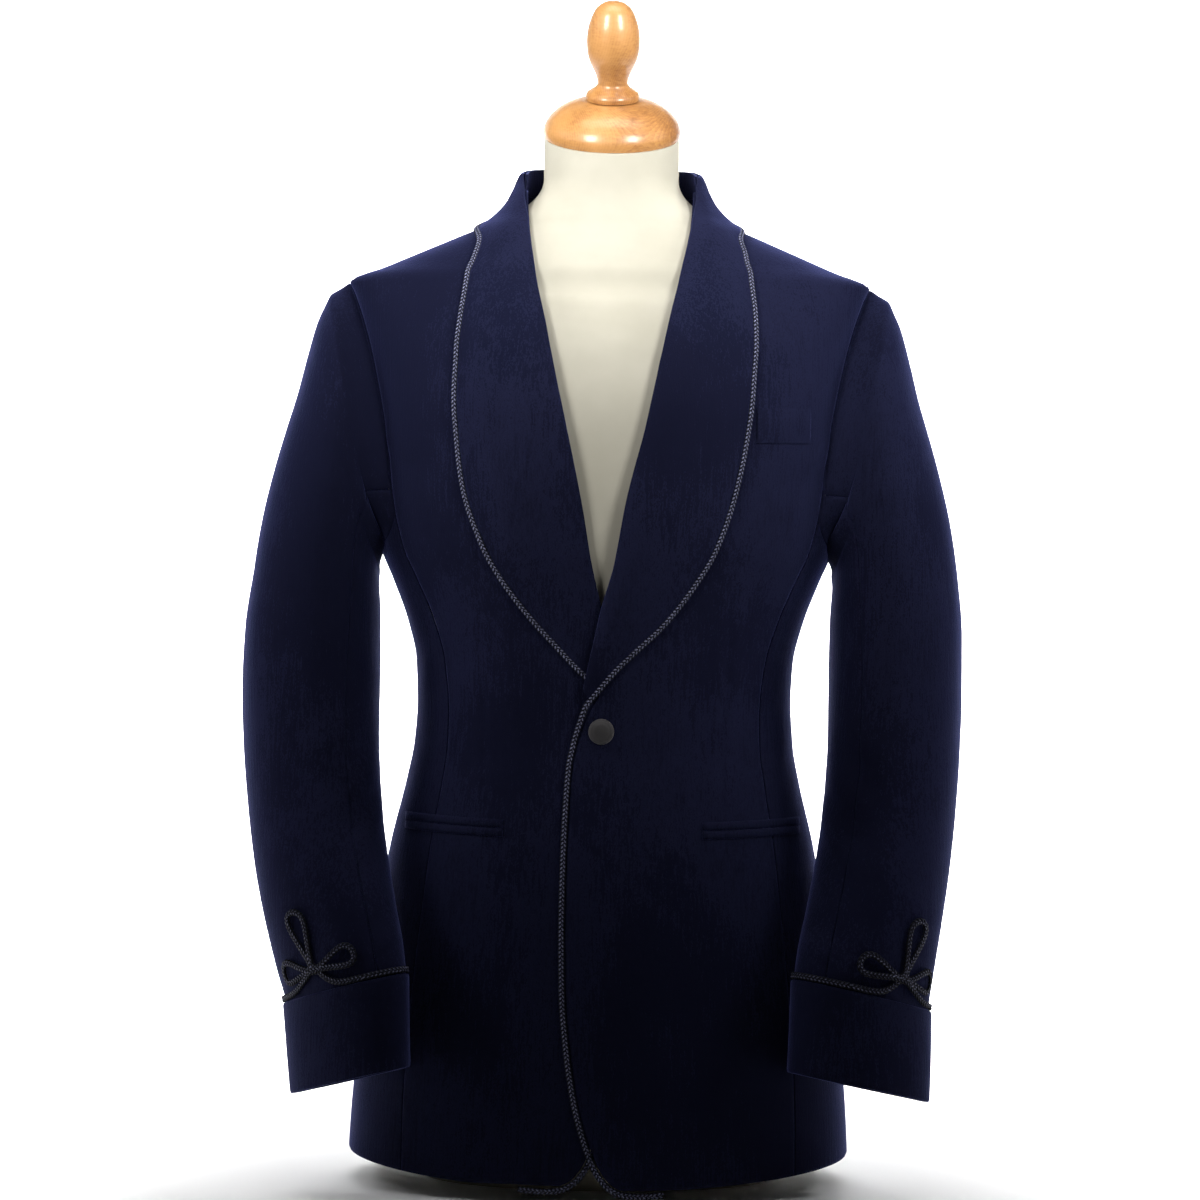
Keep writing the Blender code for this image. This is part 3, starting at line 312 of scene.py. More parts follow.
def degrees_for(length, angle, z):
    """Degrees round the body that make this length."""
    arc = ring_point(angle + ROUND_STEP, z) - ring_point(angle - ROUND_STEP, z)
    return length * 2 * ROUND_STEP / np.linalg.norm(arc, axis=-1)


def resample(points, step):
    """Points a step apart along a smooth line through the given ones."""
    length = lengths(points)
    at = np.linspace(0, length[-1], max(2, round(length[-1] / step) + 1))
    return np.column_stack(smooth_all(np.column_stack([length, points]), at))


def underlap(x, z):
    """Depth of the right front under the left one."""
    deep = UNDERLAP_LOW + (UNDERLAP_HIGH - UNDERLAP_LOW) * fade(*UNDERLAP_DEEPENS, z)
    inside = fade(*UNDERLAP_ACROSS, x) * (1 - fade(*UNDERLAP_END, z))
    return -deep * inside


def front_lift(side, angle, z):
    if side > 0:
        return 0 * angle
    return underlap(ring_point(angle, z)[..., 0], z)


def shawl_table(side):
    return LEFT_SHAWL if side > 0 else RIGHT_SHAWL


def inward_of(path, side, distance):
    """A line beside a braid's centre line, on the cloth's side of it."""
    along = unit(np.gradient(path, axis=0))
    return path + distance * np.stack([-side * along[:, 1], side * along[:, 0]], axis=1)


def left_inner(z):
    """x of the left front's inner edge below the roll line."""
    edge = inward_of(FRONT_EDGE, 1, BRAID_WIDTH / 2 + BRAID_GAP)
    edge = edge[3:np.argmin(edge[:, 1]) + 1][::-1]
    table = np.vstack([edge[edge[:, 1] < TIP_BOTTOM - TIP_JOIN][:, ::-1], TIP_INNER])
    return smooth(table, 1, z)


def inner_edge(side, z):
    """x of the front's inner edge."""
    table = shawl_table(side)
    roll = np.interp(z, table[:, 1], table[:, 0])
    if side > 0:
        return np.where(z < TIP_TOP, left_inner(z), roll + SEAM)
    low = z - UNDERLAP_SHIFT[1] * (1 - fade(*SHIFT_FADE_DOWN, z))
    shift = UNDERLAP_SHIFT[0] * (1 - SHIFT_LOST * fade(*SHIFT_FADE_ACROSS, z))
    edge = -left_inner(np.minimum(low, MIRROR_TOP)) - shift
    mix = fade(*TO_ROLL, z)
    return edge * (1 - mix) + (roll - SEAM) * mix


def hem_warp(angle, z):
    rise = smooth(HEM, 1, np.abs(angle))
    return z + rise * (1 - np.clip(z / HEM_FADE, 0, 1))


def half_seam(angle, z):
    return float(degrees_for(SEAM / 2, angle, z))


def shawl_stations(side, inset):
    """Roll line and edge of the shawl as angle, height pairs, from the bottom to centre back."""
    table = shawl_table(side)
    path = table[:, 2:4]
    edge = inward_of(path, side, inset)
    roll = table[:, 0:2]
    front = np.column_stack([
        angle_at(roll[:, 0], roll[:, 1]), roll[:, 1], angle_at(edge[:, 0], edge[:, 1]), edge[:, 1]])
    neck_angle = NECK_FOLD[:, 0] * side
    neck = np.column_stack([neck_angle, NECK_FOLD[:, 1], neck_angle, NECK_FOLD[:, 2] + inset])
    return np.vstack([front, neck])


def shawl_rows(side, inset, count):
    """The stations again, this many of them along smooth lines."""
    stations = shawl_stations(side, inset)
    table = np.column_stack([np.linspace(0, 1, len(stations)), stations])
    return np.column_stack(smooth_all(table, np.linspace(0, 1, count)))


def shawl_lift(side, share, place, angle, z):
    """Lift of the shawl's face: flat at the crossing, rolled above it."""
    full = smooth(SHAWL_ROLL, 1, share) * MM
    rise = fade(ROLL_FROM[side] - ROLL_REACH[0], ROLL_FROM[side] + ROLL_REACH[1], place)
    return SHAWL_FLAT + (full - SHAWL_FLAT) * rise + front_lift(side, angle, z)


def sleeve_section(side, s, turn):
    """Point of the sleeve's plain section number s, 1 to the last."""
    table = np.column_stack([np.arange(1, SLEEVE_LAST + 1, dtype=float), SLEEVE])
    ox, oz, ix, iz, depth, cy, skew = smooth_all(table, s)
    if side < 0:
        more_ox, more_depth, more_skew = smooth_all(RIGHT_TURN, s)
        ox = ox + more_ox
        depth = depth + more_depth
        skew = skew + more_skew
    t = np.radians(turn)
    x = (ox + ix) / 2 + (ox - ix) / 2 * np.cos(t)
    z = (oz + iz) / 2 + (oz - iz) / 2 * np.cos(t)
    y = cy - depth * np.sin(t - np.radians(skew))
    z = z + (cy - y) * CUFF_TILT * fade(8, CUFF_TOP, s)
    return np.stack(np.broadcast_arrays(x, y, z), axis=-1)


def armhole_start(turn):
    """Where the sleeve begins: the armhole's line, moved a seam's width into the opening."""
    angle, z = armhole(turn)
    here = body_point(angle, z)
    a1, z1 = armhole((turn + SLEEVE_ROUND_STEP) % 360)
    a0, z0 = armhole((turn - SLEEVE_ROUND_STEP) % 360)
    along = unit(body_point(a1, z1) - body_point(a0, z0))
    out = unit(body_point(angle, z, MM) - here)
    into = np.cross(out, along)
    centre = ring_point(90.0, ARMHOLE_CENTRE)
    sign = np.sign(np.sum(into * (centre - here), axis=-1, keepdims=True))
    return here + into * sign * (SEAM + 0.1 * MM)


def sleeve_skin(side, s, turn):
    s, turn = np.broadcast_arrays(np.asarray(s, float), np.asarray(turn, float))
    plain = sleeve_section(side, np.clip(s, 1, SLEEVE_LAST), turn)
    share = np.clip(s, 0, 1)[..., None]
    return armhole_start(turn) * (1 - share) + plain * share


def sleeve_point(side, s, turn, lift=0.0):
    """Point of a sleeve: section s from the armhole, turn 0 outside, 90 in front, 180 inside."""
    s, turn, lift = np.broadcast_arrays(np.asarray(s, float), np.asarray(turn, float), lift)
    low = np.clip(s - SECTION_STEP, 0, SLEEVE_LAST)
    high = np.clip(s + SECTION_STEP, 0, SLEEVE_LAST)
    down = sleeve_skin(side, high, turn) - sleeve_skin(side, low, turn)
    after = sleeve_skin(side, s, (turn + SLEEVE_ROUND_STEP) % 360)
    before = sleeve_skin(side, s, (turn - SLEEVE_ROUND_STEP) % 360)
    out = unit(np.cross(after - before, down))
    point = sleeve_skin(side, s, turn) + lift[..., None] * out
    return point * np.array([side, 1.0, 1.0])


def edge_frames(angle, z, lift):
    """Centres, widths' and thicknesses' directions of a cord lying on the body."""
    centre = body_point(angle, z, lift)
    out = unit(body_point(angle, z, lift + MM) - centre)
    along = unit(np.gradient(centre, axis=0))
    return centre, unit(np.cross(along, out)), out


def edge_path(side):
    """Angle, height and lift of the braid from centre back down the shawl's edge."""
    rows = shawl_rows(side, 0.0, 61)[::-1]
    place = np.linspace(1, 0, len(rows))
    lift = shawl_lift(side, np.ones(len(rows)), place, rows[:, 2], rows[:, 3]) - CLOTH / 2
    path = np.column_stack([rows[:, 2], rows[:, 3], lift])
    path[0, 0] -= side * half_seam(BEHIND, NECK_SEAM)
    return path


def section_above(side, turn, distance):
    """Section number this far above the cuff's top edge, measured down the sleeve."""
    s = np.arange(CUFF_TOP - 6.0, CUFF_TOP + 0.1, 0.25)
    line = sleeve_point(side, s, np.full_like(s, turn))
    steps = np.linalg.norm(np.diff(line, axis=0), axis=1)
    below = np.concatenate([np.cumsum(steps[::-1])[::-1], [0]])
    return np.interp(distance, below[::-1], s[::-1])


# Creases of the fronts and back in x, z: start, end, half width and height in millimetres, behind.
BODY_CREASES = (
    (-0.134, 0.434, -0.142, 0.378, 7.0, 1.5, False),
    (-0.150, 0.470, -0.120, 0.405, 12.0, -1.0, False),
    (-0.040, 0.372, -0.128, 0.405, 13.0, 1.0, False),
    (-0.045, 0.350, -0.132, 0.330, 14.0, -0.8, False),
    (0.030, 0.372, 0.122, 0.412, 13.0, 1.0, False),
    (0.035, 0.350, 0.128, 0.335, 14.0, -0.8, False),
    (0.128, 0.300, 0.146, 0.372, 9.0, 1.1, False),
    (0.150, 0.556, 0.186, 0.598, 8.0, 1.6, False),
    (0.132, 0.540, 0.176, 0.572, 10.0, -1.3, False),
    (-0.152, 0.560, -0.186, 0.600, 8.0, 1.4, False),
    (-0.130, 0.548, -0.174, 0.580, 10.0, -1.1, False),
    (-0.120, 0.240, -0.150, 0.030, 20.0, 1.4, False),
    (0.115, 0.240, 0.150, 0.030, 20.0, 1.4, False),
    (0.060, 0.240, 0.080, 0.020, 24.0, -1.2, False),
    (-0.070, 0.230, -0.090, 0.020, 24.0, -1.2, False),
    (-0.030, 0.405, -0.115, 0.370, 13.0, 1.2, True),
    (0.030, 0.405, 0.115, 0.370, 13.0, 1.2, True),
    (-0.020, 0.360, -0.120, 0.335, 15.0, -1.0, True),
    (0.020, 0.360, 0.120, 0.335, 15.0, -1.0, True),
    (-0.100, 0.640, -0.165, 0.540, 14.0, 1.4, True),
    (0.100, 0.640, 0.165, 0.540, 14.0, 1.4, True),
)
# Sewn darts of the fronts: lines of |x|, z.
DART = np.array([(0.090, 0.297), (0.0925, 0.340), (0.093, 0.380), (0.0965, 0.440), (0.100, 0.520)])
DART_WIDTH = 0.9 * MM
DART_DEPTH = 0.8 * MM
# The swell beside a dart, how far from it, and how the dart begins and ends up the front.
DART_SWELL = 0.5 * MM
DART_SHOULDER = 5 * MM
DART_START = (0.004, 0.006)
DART_END = 0.02
# Creases of the sleeves by section and turn: start, end, half width and height in millimetres.
SLEEVE_CREASES = (
    (1.5, 150, 4.5, 205, 9.0, 1.6), (2.5, 118, 5.5, 62, 10.0, 1.5), (3.5, 135, 7.0, 95, 9.0, -1.3),
    (5.0, 30, 12.0, 45, 16.0, 1.5), (4.0, 330, 11.0, 318, 18.0, 1.4), (6.0, 75, 13.5, 88, 13.0, -1.2),
    (9.4, 150, 11.0, 95, 9.0, 1.7), (10.6, 168, 12.0, 108, 9.0, 1.9), (11.6, 176, 13.2, 116, 9.0, 1.8),
    (10.0, 160, 11.6, 102, 7.0, -1.3), (11.2, 172, 12.6, 112, 7.0, -1.3), (9.5, 215, 12.0, 250, 14.0, 1.3),
    (13.0, 160, 14.4, 112, 8.0, 1.3), (14.4, 168, 15.3, 118, 6.0, 1.5), (13.8, 158, 14.9, 108, 6.0, -1.0),
    (0.4, 355, 1.5, 355, 20.0, 1.2), (0.9, 152, 2.9, 140, 24.0, 12.0),
)
# Sections over which the sleeves' creases come and go, and the right sleeve's share of them.
CREASE_START = (0.0, 1.2)
CREASE_END = (15.2, 15.9)
RIGHT_CREASES = 0.8
# Length of a section and of a degree of the sleeve, for its creases.
SECTION_LENGTH = 36 * MM
TURN_LENGTH = 0.87 * MM
# A crease uses this share of a half wave along it, to this power.
CREASE_SPAN = 0.86
CREASE_POWER = 1.2
# Rounding of the pieces' edges: its depth, the shares across over which it falls, its height at hems.
EDGE_ROUND = 0.9 * MM
EDGE_SHARES = np.array([0, 0.0022, 0.0065, 0.013, 0.024])
HEM_ROUND = 0.004
# Heights of the panels' first rows, of the first plain one, and the steps between the others.
FIRST_ROWS = (0, 0.0005, 0.0015, 0.003, 0.005)
PLAIN_FROM = 0.008
ROW_STEP = 4 * MM
HIGH_STEP = 0.8 * ROW_STEP
# The side body's rows are level below this, and its corners rise into the armhole by this much.
SIDE_STRAIGHT = 0.46
SIDE_CORNER = 1.5 * MM
SIDE_CORNER_SHARE = 0.06
# Rows of the sleeve's rounded head, and where the rounding ends.
HEAD_ROWS = (0, 0.012, 0.035, 0.07, 0.12)
HEAD_END = 0.12
# The sleeve's head runs under the body's edge by this much.
TUCK = 3 * MM
# Degrees by which each sleeve piece runs under its neighbour at the armhole, and how soon it stops.
TUCK_WIDER = 1.5
TUCK_FADE = 0.03
SHAWL_COUNT = 150

# The plait: three strands that swing across and over each other, and each strand's section.
PLAIT_PITCH = 9.6 * MM
PLAIT_SWING = 1.50 * MM
PLAIT_RISE = 0.50 * MM
STRAND_WIDE = 1.14 * MM
STRAND_DEEP = 0.78 * MM
STRAND_SIDES = 8
PLAIT_STEP = 0.8 * MM
# One turn of the threads that each strand's shading shows.
THREAD_LENGTH = 0.0032

# The world's light on the object, and as the camera sees it.
WORLD_LIGHT = 0.03
WORLD_SEEN = 1.0
# The camera: distance, height, place across, lens and sensor in millimetres, and roll in degrees.
CAMERA_AWAY = 2.8
CAMERA_HEIGHT = 0.460
CAMERA_ACROSS = -0.0044
CAMERA_LENS = 105
CAMERA_SENSOR = 36
CAMERA_ROLL = 0.8


def spread(count):
    """Shares across a piece, crowded at both edges."""
    inner = np.linspace(0.042, 0.958, count)
    return np.concatenate([EDGE_SHARES, inner, 1 - EDGE_SHARES[::-1]])


def rounded(share):
    """How far the outer face drops at a piece's edge."""
    near = np.minimum(share, 1 - share)
    return -EDGE_ROUND * np.clip(1 - near / EDGE_SHARES[-1], 0, 1) ** 3


def segment_fold(u, v, start, end, width, height):
    """A fold along a line: bell shaped across it, fading out to its ends."""
    a = np.array(start, float)
    b = np.array(end, float)
    d = b - a
    t = ((u - a[0]) * d[0] + (v - a[1]) * d[1]) / (d @ d)
    near = np.clip(t, 0, 1)
    away = np.hypot(u - a[0] - near * d[0], v - a[1] - near * d[1])
    taper = np.sin(np.pi * np.clip(0.5 + (near - 0.5) * CREASE_SPAN, 0, 1)) ** CREASE_POWER
    return height * taper * np.exp(-(away / width) ** 2)


def body_relief(angle, z):
    """Creases and darts of the body's panels, in metres outwards."""
    place = ring_point(angle, z)
    x = place[..., 0]
    behind = place[..., 1] > 0
    total = 0 * x
    for x0, z0, x1, z1, width, height, back in BODY_CREASES:
        fold = segment_fold(x, z, (x0, z0), (x1, z1), width * MM, height * MM)
        total = total + fold * (behind == back)
    line = np.interp(z, DART[:, 1], DART[:, 0])
    ends = fade(DART[0, 1] - DART_START[0], DART[0, 1] + DART_START[1], z)
    ends = ends * (1 - fade(DART[-1, 1] - DART_END, DART[-1, 1], z))
    off = np.abs(x) - line
    groove = -DART_DEPTH * np.exp(-(off / DART_WIDTH) ** 2)
    swell = DART_SWELL * np.exp(-((np.abs(off) - DART_SHOULDER) / DART_SHOULDER) ** 2)
    return total + (groove + swell) * ends * ~behind


def sleeve_relief(side, s, turn):
    """Creases of a sleeve, in metres outwards, fading out at the armhole and the cuff."""
    u = s * SECTION_LENGTH
    v = np.mod(turn, 360) * TURN_LENGTH
    total = 0 * u
    lean = RIGHT_CREASES if side < 0 else 1.0
    for s0, t0, s1, t1, width, height in SLEEVE_CREASES:
        for wrap in (-360, 0, 360):
            start = (s0 * SECTION_LENGTH, (t0 + wrap) * TURN_LENGTH)
            end = (s1 * SECTION_LENGTH, (t1 + wrap) * TURN_LENGTH)
            total = total + segment_fold(u, v, start, end, width * MM, height * MM * lean)
    return total * fade(*CREASE_START, s) * (1 - fade(*CREASE_END, s))


def mesh_object(name, points, faces, material, sharp=50, outward=False):
    """A smooth mesh, sharp above an angle; outward turns all its faces to the outside."""
    mesh = bpy.data.meshes.new(name)
    mesh.from_pydata(points.tolist(), [], faces)
    mesh.validate()
    if outward:
        bm = bmesh.new()
        bm.from_mesh(mesh)
        bmesh.ops.recalc_face_normals(bm, faces=bm.faces)
        bm.to_mesh(mesh)
        bm.free()
    mesh.shade_smooth()
    mesh.set_sharp_from_angle(angle=math.radians(sharp))
    mesh.materials.append(material)
    thing = bpy.data.objects.new(name, mesh)
    bpy.context.scene.collection.objects.link(thing)
    return thing


def grid_faces(rows, columns, start=0, ring=False, flip=False):
    """Faces of a grid of points, closed round it for a ring."""
    r, c = np.meshgrid(np.arange(rows - 1), np.arange(columns if ring else columns - 1), indexing="ij")
    d = (c + 1) % columns
    low = r * columns
    high = (r + 1) * columns
    quads = np.stack([low + c, low + d, high + d, high + c], axis=-1).reshape(-1, 4) + start
    return quads[:, ::-1] if flip else quads


def capped(name, grid, ends, material, sharp, outward=False):
    """A closed solid from rings of points and a point at each end."""
    rows, columns = grid.shape[:2]
    last = (rows - 1) * columns
    faces = grid_faces(rows, columns, ring=True).tolist()
    for i in range(columns):
        j = (i + 1) % columns
        faces.append([rows * columns, j, i])
        faces.append([rows * columns + 1, last + i, last + j])
    return mesh_object(name, np.concatenate([grid.reshape(-1, 3), ends]), faces, material, sharp, outward)


def rim_faces(line_a, line_b, closed):
    n = len(line_a)
    i = np.arange(n if closed else n - 1)
    j = (i + 1) % n
    return np.stack([line_a[i], line_a[j], line_b[j], line_b[i]], axis=-1)


def shell(name, outer, inner, material, ring=False):
    """A closed fine cloth piece between two grids of points."""
    rows, columns = outer.shape[:2]
    points = np.concatenate([outer.reshape(-1, 3), inner.reshape(-1, 3)])
    index = np.arange(rows * columns).reshape(rows, columns)
    face = np.cross(outer[1:, :-1] - outer[:-1, :-1], outer[:-1, 1:] - outer[:-1, :-1])
    away = (outer - inner)[:-1, :-1]
    flip = np.sum(np.sum(face * away, axis=-1)) > 0
    faces = [grid_faces(rows, columns, 0, ring, flip),
             grid_faces(rows, columns, rows * columns, ring, not flip)]
    below = index + rows * columns
    rims = [rim_faces(index[0], below[0], ring)[:, ::-1], rim_faces(index[-1], below[-1], ring)]
    if not ring:
        rims.append(rim_faces(index[:, 0], below[:, 0], False))
        rims.append(rim_faces(index[:, -1], below[:, -1], False)[:, ::-1])
    faces += [rim[:, ::-1] if flip else rim for rim in rims]
    return mesh_object(name, points, np.concatenate(faces).tolist(), material)


def armhole_ratio(z, column):
    turn = np.degrees(np.arccos(np.clip((z - ARMHOLE_CENTRE) / ARMHOLE_HALF, -1, 1)))
    return smooth(ARMHOLE, column, turn)


def pit_height():
    return ARMHOLE_CENTRE + ARMHOLE_HALF * math.cos(math.radians(SIDE_SEAM))


def outer_angle(z, column, behind):
    """Edge of the front or back on the side seam, the armhole or the shoulder."""
    ratio = np.where(z <= pit_height(), smooth(SIDE_SEAMS, column, z), armhole_ratio(z, column))
    return np.where(z < SHOULDER_TIP, seam_angle(ratio, z, behind), 90.0)


def low_rows():
    plain = np.arange(PLAIN_FROM, pit_height() - 0.003, ROW_STEP)
    return np.concatenate([FIRST_ROWS, plain, [pit_height()]])


def high_rows():
    side = np.arange(pit_height() + 0.003, SHOULDER_TIP - 0.002, HIGH_STEP)
    top = np.arange(SHOULDER_TIP + 0.004, NECK_SEAM - 0.002, HIGH_STEP)
    return np.concatenate([side, [SHOULDER_TIP - 0.0015, SHOULDER_TIP], top, [NECK_SEAM]])


def hem_round(z):
    return -EDGE_ROUND * np.clip(1 - np.asarray(z) / HEM_ROUND, 0, 1) ** 3


def panel(name, angle, height, z, share, lift, material):
    """A panel of the body from its grid of angles and heights."""
    drop = np.minimum(rounded(share)[None, :], hem_round(z)[:, None])
    outer = body_point(angle, height, lift + body_relief(angle, height) + drop)
    inner = body_point(angle, height, lift - CLOTH)
    return shell(name, outer, inner, material)


def fine_front(side, name, material):
    share = spread(54)
    z = np.concatenate([low_rows(), high_rows()])
    last = outer_angle(z, 1, False)
    last = side * (last - degrees_for(SEAM / 2, last, z))
    rise = UNDERLAP_SHIFT[1] * (1 - fade(*HEM_LIFT_FADE, z)) * (side < 0)
    start_z = hem_warp(0 * z, z) + rise
    first = angle_at(inner_edge(side, start_z), start_z)
    angle = between(first, last, share)
    height = hem_warp(angle, z[:, None]) + rise[:, None] * (1 - fade(*HEM_LIFT_TURN, np.abs(angle)))
    return panel(name, angle, height, z, share, front_lift(side, angle, height), material)


def fine_back(side, name, material):
    share = spread(44)
    z = np.concatenate([low_rows(), high_rows()])
    first = outer_angle(z, 2, True)
    first = side * (first + degrees_for(SEAM / 2, first, z))
    last = side * (180 - degrees_for(SEAM / 2, BEHIND, z))
    angle = between(first, last, share)
    return panel(name, angle, hem_warp(angle, z[:, None]), z, share, 0 * angle, material)


def fine_side(side, name, material):
    share = spread(26)
    top_angle, top_z = armhole(SIDE_SEAM + (360 - 2 * SIDE_SEAM) * share)
    top_share = (top_angle - top_angle[0]) / (top_angle[-1] - top_angle[0])
    z = low_rows()
    first = outer_angle(z, 1, False)
    last = outer_angle(z, 2, True)
    first = first + degrees_for(SEAM / 2, first, z)
    last = last - degrees_for(SEAM / 2, last, z)
    angle = between(first, last, top_share)
    rise = np.clip((z - SIDE_STRAIGHT) / (z[-1] - SIDE_STRAIGHT), 0, 1)[:, None]
    height = hem_warp(angle, z[:, None])
    corner = np.exp(-(share / SIDE_CORNER_SHARE) ** 2) + np.exp(-((1 - share) / SIDE_CORNER_SHARE) ** 2)
    height = height + (top_z + SIDE_CORNER * corner - SEAM / 2 - z[-1]) * rise
    return panel(name, side * angle, height, z, share, 0 * angle, material)


def fine_shawl(side, name, material):
    rows = shawl_rows(side, BRAID_WIDTH / 2 - 1.0 * MM, SHAWL_COUNT)
    share = spread(26)
    roll_angle, roll_z, edge_angle, edge_z = [rows[:, k:k + 1] for k in range(4)]
    angle = roll_angle + (edge_angle - roll_angle) * share
    z = roll_z + (edge_z - roll_z) * share
    angle[-1] -= side * half_seam(BEHIND, NECK_SEAM)
    place = np.linspace(0, 1, SHAWL_COUNT)[:, None]
    lift = shawl_lift(side, share, place, angle, z) + shawl_relief(side, share, place)
    outer = body_point(angle, z, lift + rounded(share))
    inner = body_point(angle, z, lift - CLOTH)
    return shell(name, outer, inner, material)


def shawl_relief(side, share, place):
    """A soft ridge beside the edge where the shawl turns over, strongest low on the right one."""
    strength = RIDGE_HEIGHT[side] * fade(*RIDGE_START, place) * (1 - fade(*RIDGE_END, place))
    return strength * np.exp(-((share - RIDGE_ACROSS) / RIDGE_WIDTH) ** 2)


def fine_stand(name, material):
    """The upright band between the neck seam and the shawl's fold, round the back."""
    angle = np.linspace(NECK_FOLD[0, 0], 360 - NECK_FOLD[0, 0], 90)
    fold = smooth(NECK_FOLD, 1, np.where(angle > 180, 360 - angle, angle))
    low = np.full_like(fold, NECK_SEAM + SEAM)
    heights = [low + (fold - low) * k for k in np.linspace(0, 1, 8)]
    outer = np.array([body_point(angle, height) for height in heights])
    inner = np.array([body_point(angle, height, -CLOTH) for height in heights])
    return shell(name, outer, inner, material)


def tucked(side, turns, inward, lift):
    """Points just under the body's edge at the armhole, where the sleeve's head begins."""
    angle, z = armhole(turns % 360)
    edge = body_point(angle, z, lift)
    centre = ring_point(90.0, ARMHOLE_CENTRE)
    away = unit(edge - centre)
    return (edge + away * inward) * np.array([side, 1.0, 1.0])


def fine_sleeve(side, name, first, last, columns, material):
    share = spread(columns)
    turns = first + SLEEVE_GAP + (last - first - 2 * SLEEVE_GAP) * share
    s = np.concatenate([HEAD_ROWS, np.linspace(0.2, SLEEVE_LAST, 165)])[:, None]
    drop = np.minimum(rounded(share)[None, :], -EDGE_ROUND * np.clip(1 - s / HEAD_END, 0, 1) ** 3)
    relief = sleeve_relief(side, s, turns[None, :] % 360)
    wide = turns + TUCK_WIDER * (2 * share - 1) ** 9 * np.exp(-s / TUCK_FADE)
    outer = sleeve_point(side, s, wide % 360, relief + drop)
    inner = sleeve_point(side, s, wide % 360, relief - CLOTH)
    hidden = tucked(side, wide[0], TUCK, -CLOTH - 0.3 * MM)
    below = tucked(side, wide[0], TUCK, -2 * CLOTH)
    outer = np.concatenate([hidden[None], outer])
    inner = np.concatenate([below[None], inner])
    return shell(name, outer, inner, material)


def fine_cuff(side, name, material):
    turns = np.linspace(0, 360, 145)[:-1]
    part = np.concatenate([[0, 0.006, 0.018, 0.04], np.linspace(0.08, 0.95, 24), [0.975, 0.99, 1.0]])
    s = (CUFF_TOP + (SLEEVE_LAST - CUFF_TOP) * part)[:, None]
    near = np.minimum(part, 1 - part)[:, None]
    drop = -EDGE_ROUND * np.clip(1 - near / 0.04, 0, 1) ** 3
    height, waves, begin = CUFF_WAVE
    wave = height * np.sin(np.radians(turns * waves + begin))[None, :] * np.sin(np.pi * part)[:, None]
    outer = sleeve_point(side, s, turns[None, :], CUFF_OUTSIDE + drop + wave)
    inner = sleeve_point(side, s, turns[None, :], CUFF_INSIDE + 0 * wave)
    return shell(name, outer, inner, material, ring=True)


def fine_patch(name, box, side, lift, material):
    """A flat pocket piece with rounded long edges."""
    x0, x1, z0, z1, rise = box
    across = np.concatenate([[0, 0.01, 0.03], np.linspace(0.06, 0.94, 40), [0.97, 0.99, 1]])
    up = np.concatenate([[0, 0.06, 0.16, 0.3], np.linspace(0.42, 0.58, 3), [0.7, 0.84, 0.94, 1]])
    swell = lift * (1 - np.abs(2 * up - 1) ** 2.6)[:, None] * np.ones_like(across)[None, :]
    swell = swell * np.clip(np.minimum(across, 1 - across) / 0.03, 0, 1)[None, :] ** 0.5
    z = z0 + (z1 - z0) * up[:, None] + rise * across[None, :]
    angle = angle_at(side * (x0 + (x1 - x0) * across)[None, :] + 0 * z, z)
    base = body_relief(angle, z)
    outer = body_point(angle, z, base + SEAM + 0.4 * MM + swell)
    inner = body_point(angle, z, base - 0.4 * MM)
    return shell(name, outer, inner, material)


def plait(name, centre, across, out, material, closed=False, highlight_share=1.0):
    """Three strands plaited along a line of centres, with a fine even step; their painted_crown attribute
    holds painted highlight on the strands' raised outer faces and painted shade in their dips.
    """
    length = lengths(centre)
    total = length[-1]
    pitch = total / max(1, round(total / PLAIT_PITCH)) if closed else PLAIT_PITCH
    at = np.linspace(0, total, round(total / PLAIT_STEP) + 1)
    if closed:
        at = at[:-1]
    lines = (centre, across, out)
    c, a, o = [np.column_stack([np.interp(at, length, v[:, k]) for k in range(3)]) for v in lines]
    a = unit(a)
    o = unit(o)
    points = []
    faces = []
    painted_crown = []
    n = len(at)
    round_strand = 2 * np.pi * np.arange(STRAND_SIDES) / STRAND_SIDES
    # Painted highlight weight round each strand's section, strongest on its outer face.
    top = highlight_share * np.clip(np.sin(round_strand), 0, 1) ** 2
    for strand in range(3):
        phase = 2 * np.pi * (at / pitch + strand / 3)
        line = c + a * (PLAIT_SWING * np.sin(phase))[:, None] + o * (PLAIT_RISE * np.sin(2 * phase))[:, None]
        heading = unit(np.gradient(line, axis=0))
        aside = unit(np.cross(heading, o))
        upward = unit(np.cross(aside, heading))
        ring = [line + aside * STRAND_WIDE * math.cos(t) + upward * STRAND_DEEP * math.sin(t)
                for t in round_strand]
        points.append(np.stack(ring, axis=1).reshape(-1, 3))
        i = np.arange(n if closed else n - 1)[:, None]
        k = np.arange(STRAND_SIDES)[None, :]
        low = i * STRAND_SIDES
        high = (i + 1) % n * STRAND_SIDES
        k2 = (k + 1) % STRAND_SIDES
        quads = np.stack(np.broadcast_arrays(low + k, low + k2, high + k2, high + k), axis=-1)
        faces.append(quads.reshape(-1, 4)[:, ::-1] + strand * n * STRAND_SIDES)
        # painted_crown: painted highlight on each strand's outer face where it rides high over the others,
        # painted shade where it dips under them.
        painted_crown.append(((0.5 + 0.5 * np.sin(2 * phase))[:, None] * top[None, :]).ravel())
    faces = np.concatenate(faces).tolist()
    thing = mesh_object(name, np.concatenate(points), faces, material, sharp=180)
    along = np.tile(np.repeat(at, STRAND_SIDES), 3)
    for label, values in (("along", along), ("painted_crown", np.concatenate(painted_crown))):
        layer = thing.data.attributes.new(label, "FLOAT", "POINT")
        layer.data.foreach_set("value", np.asarray(values, np.float32))
    return thing


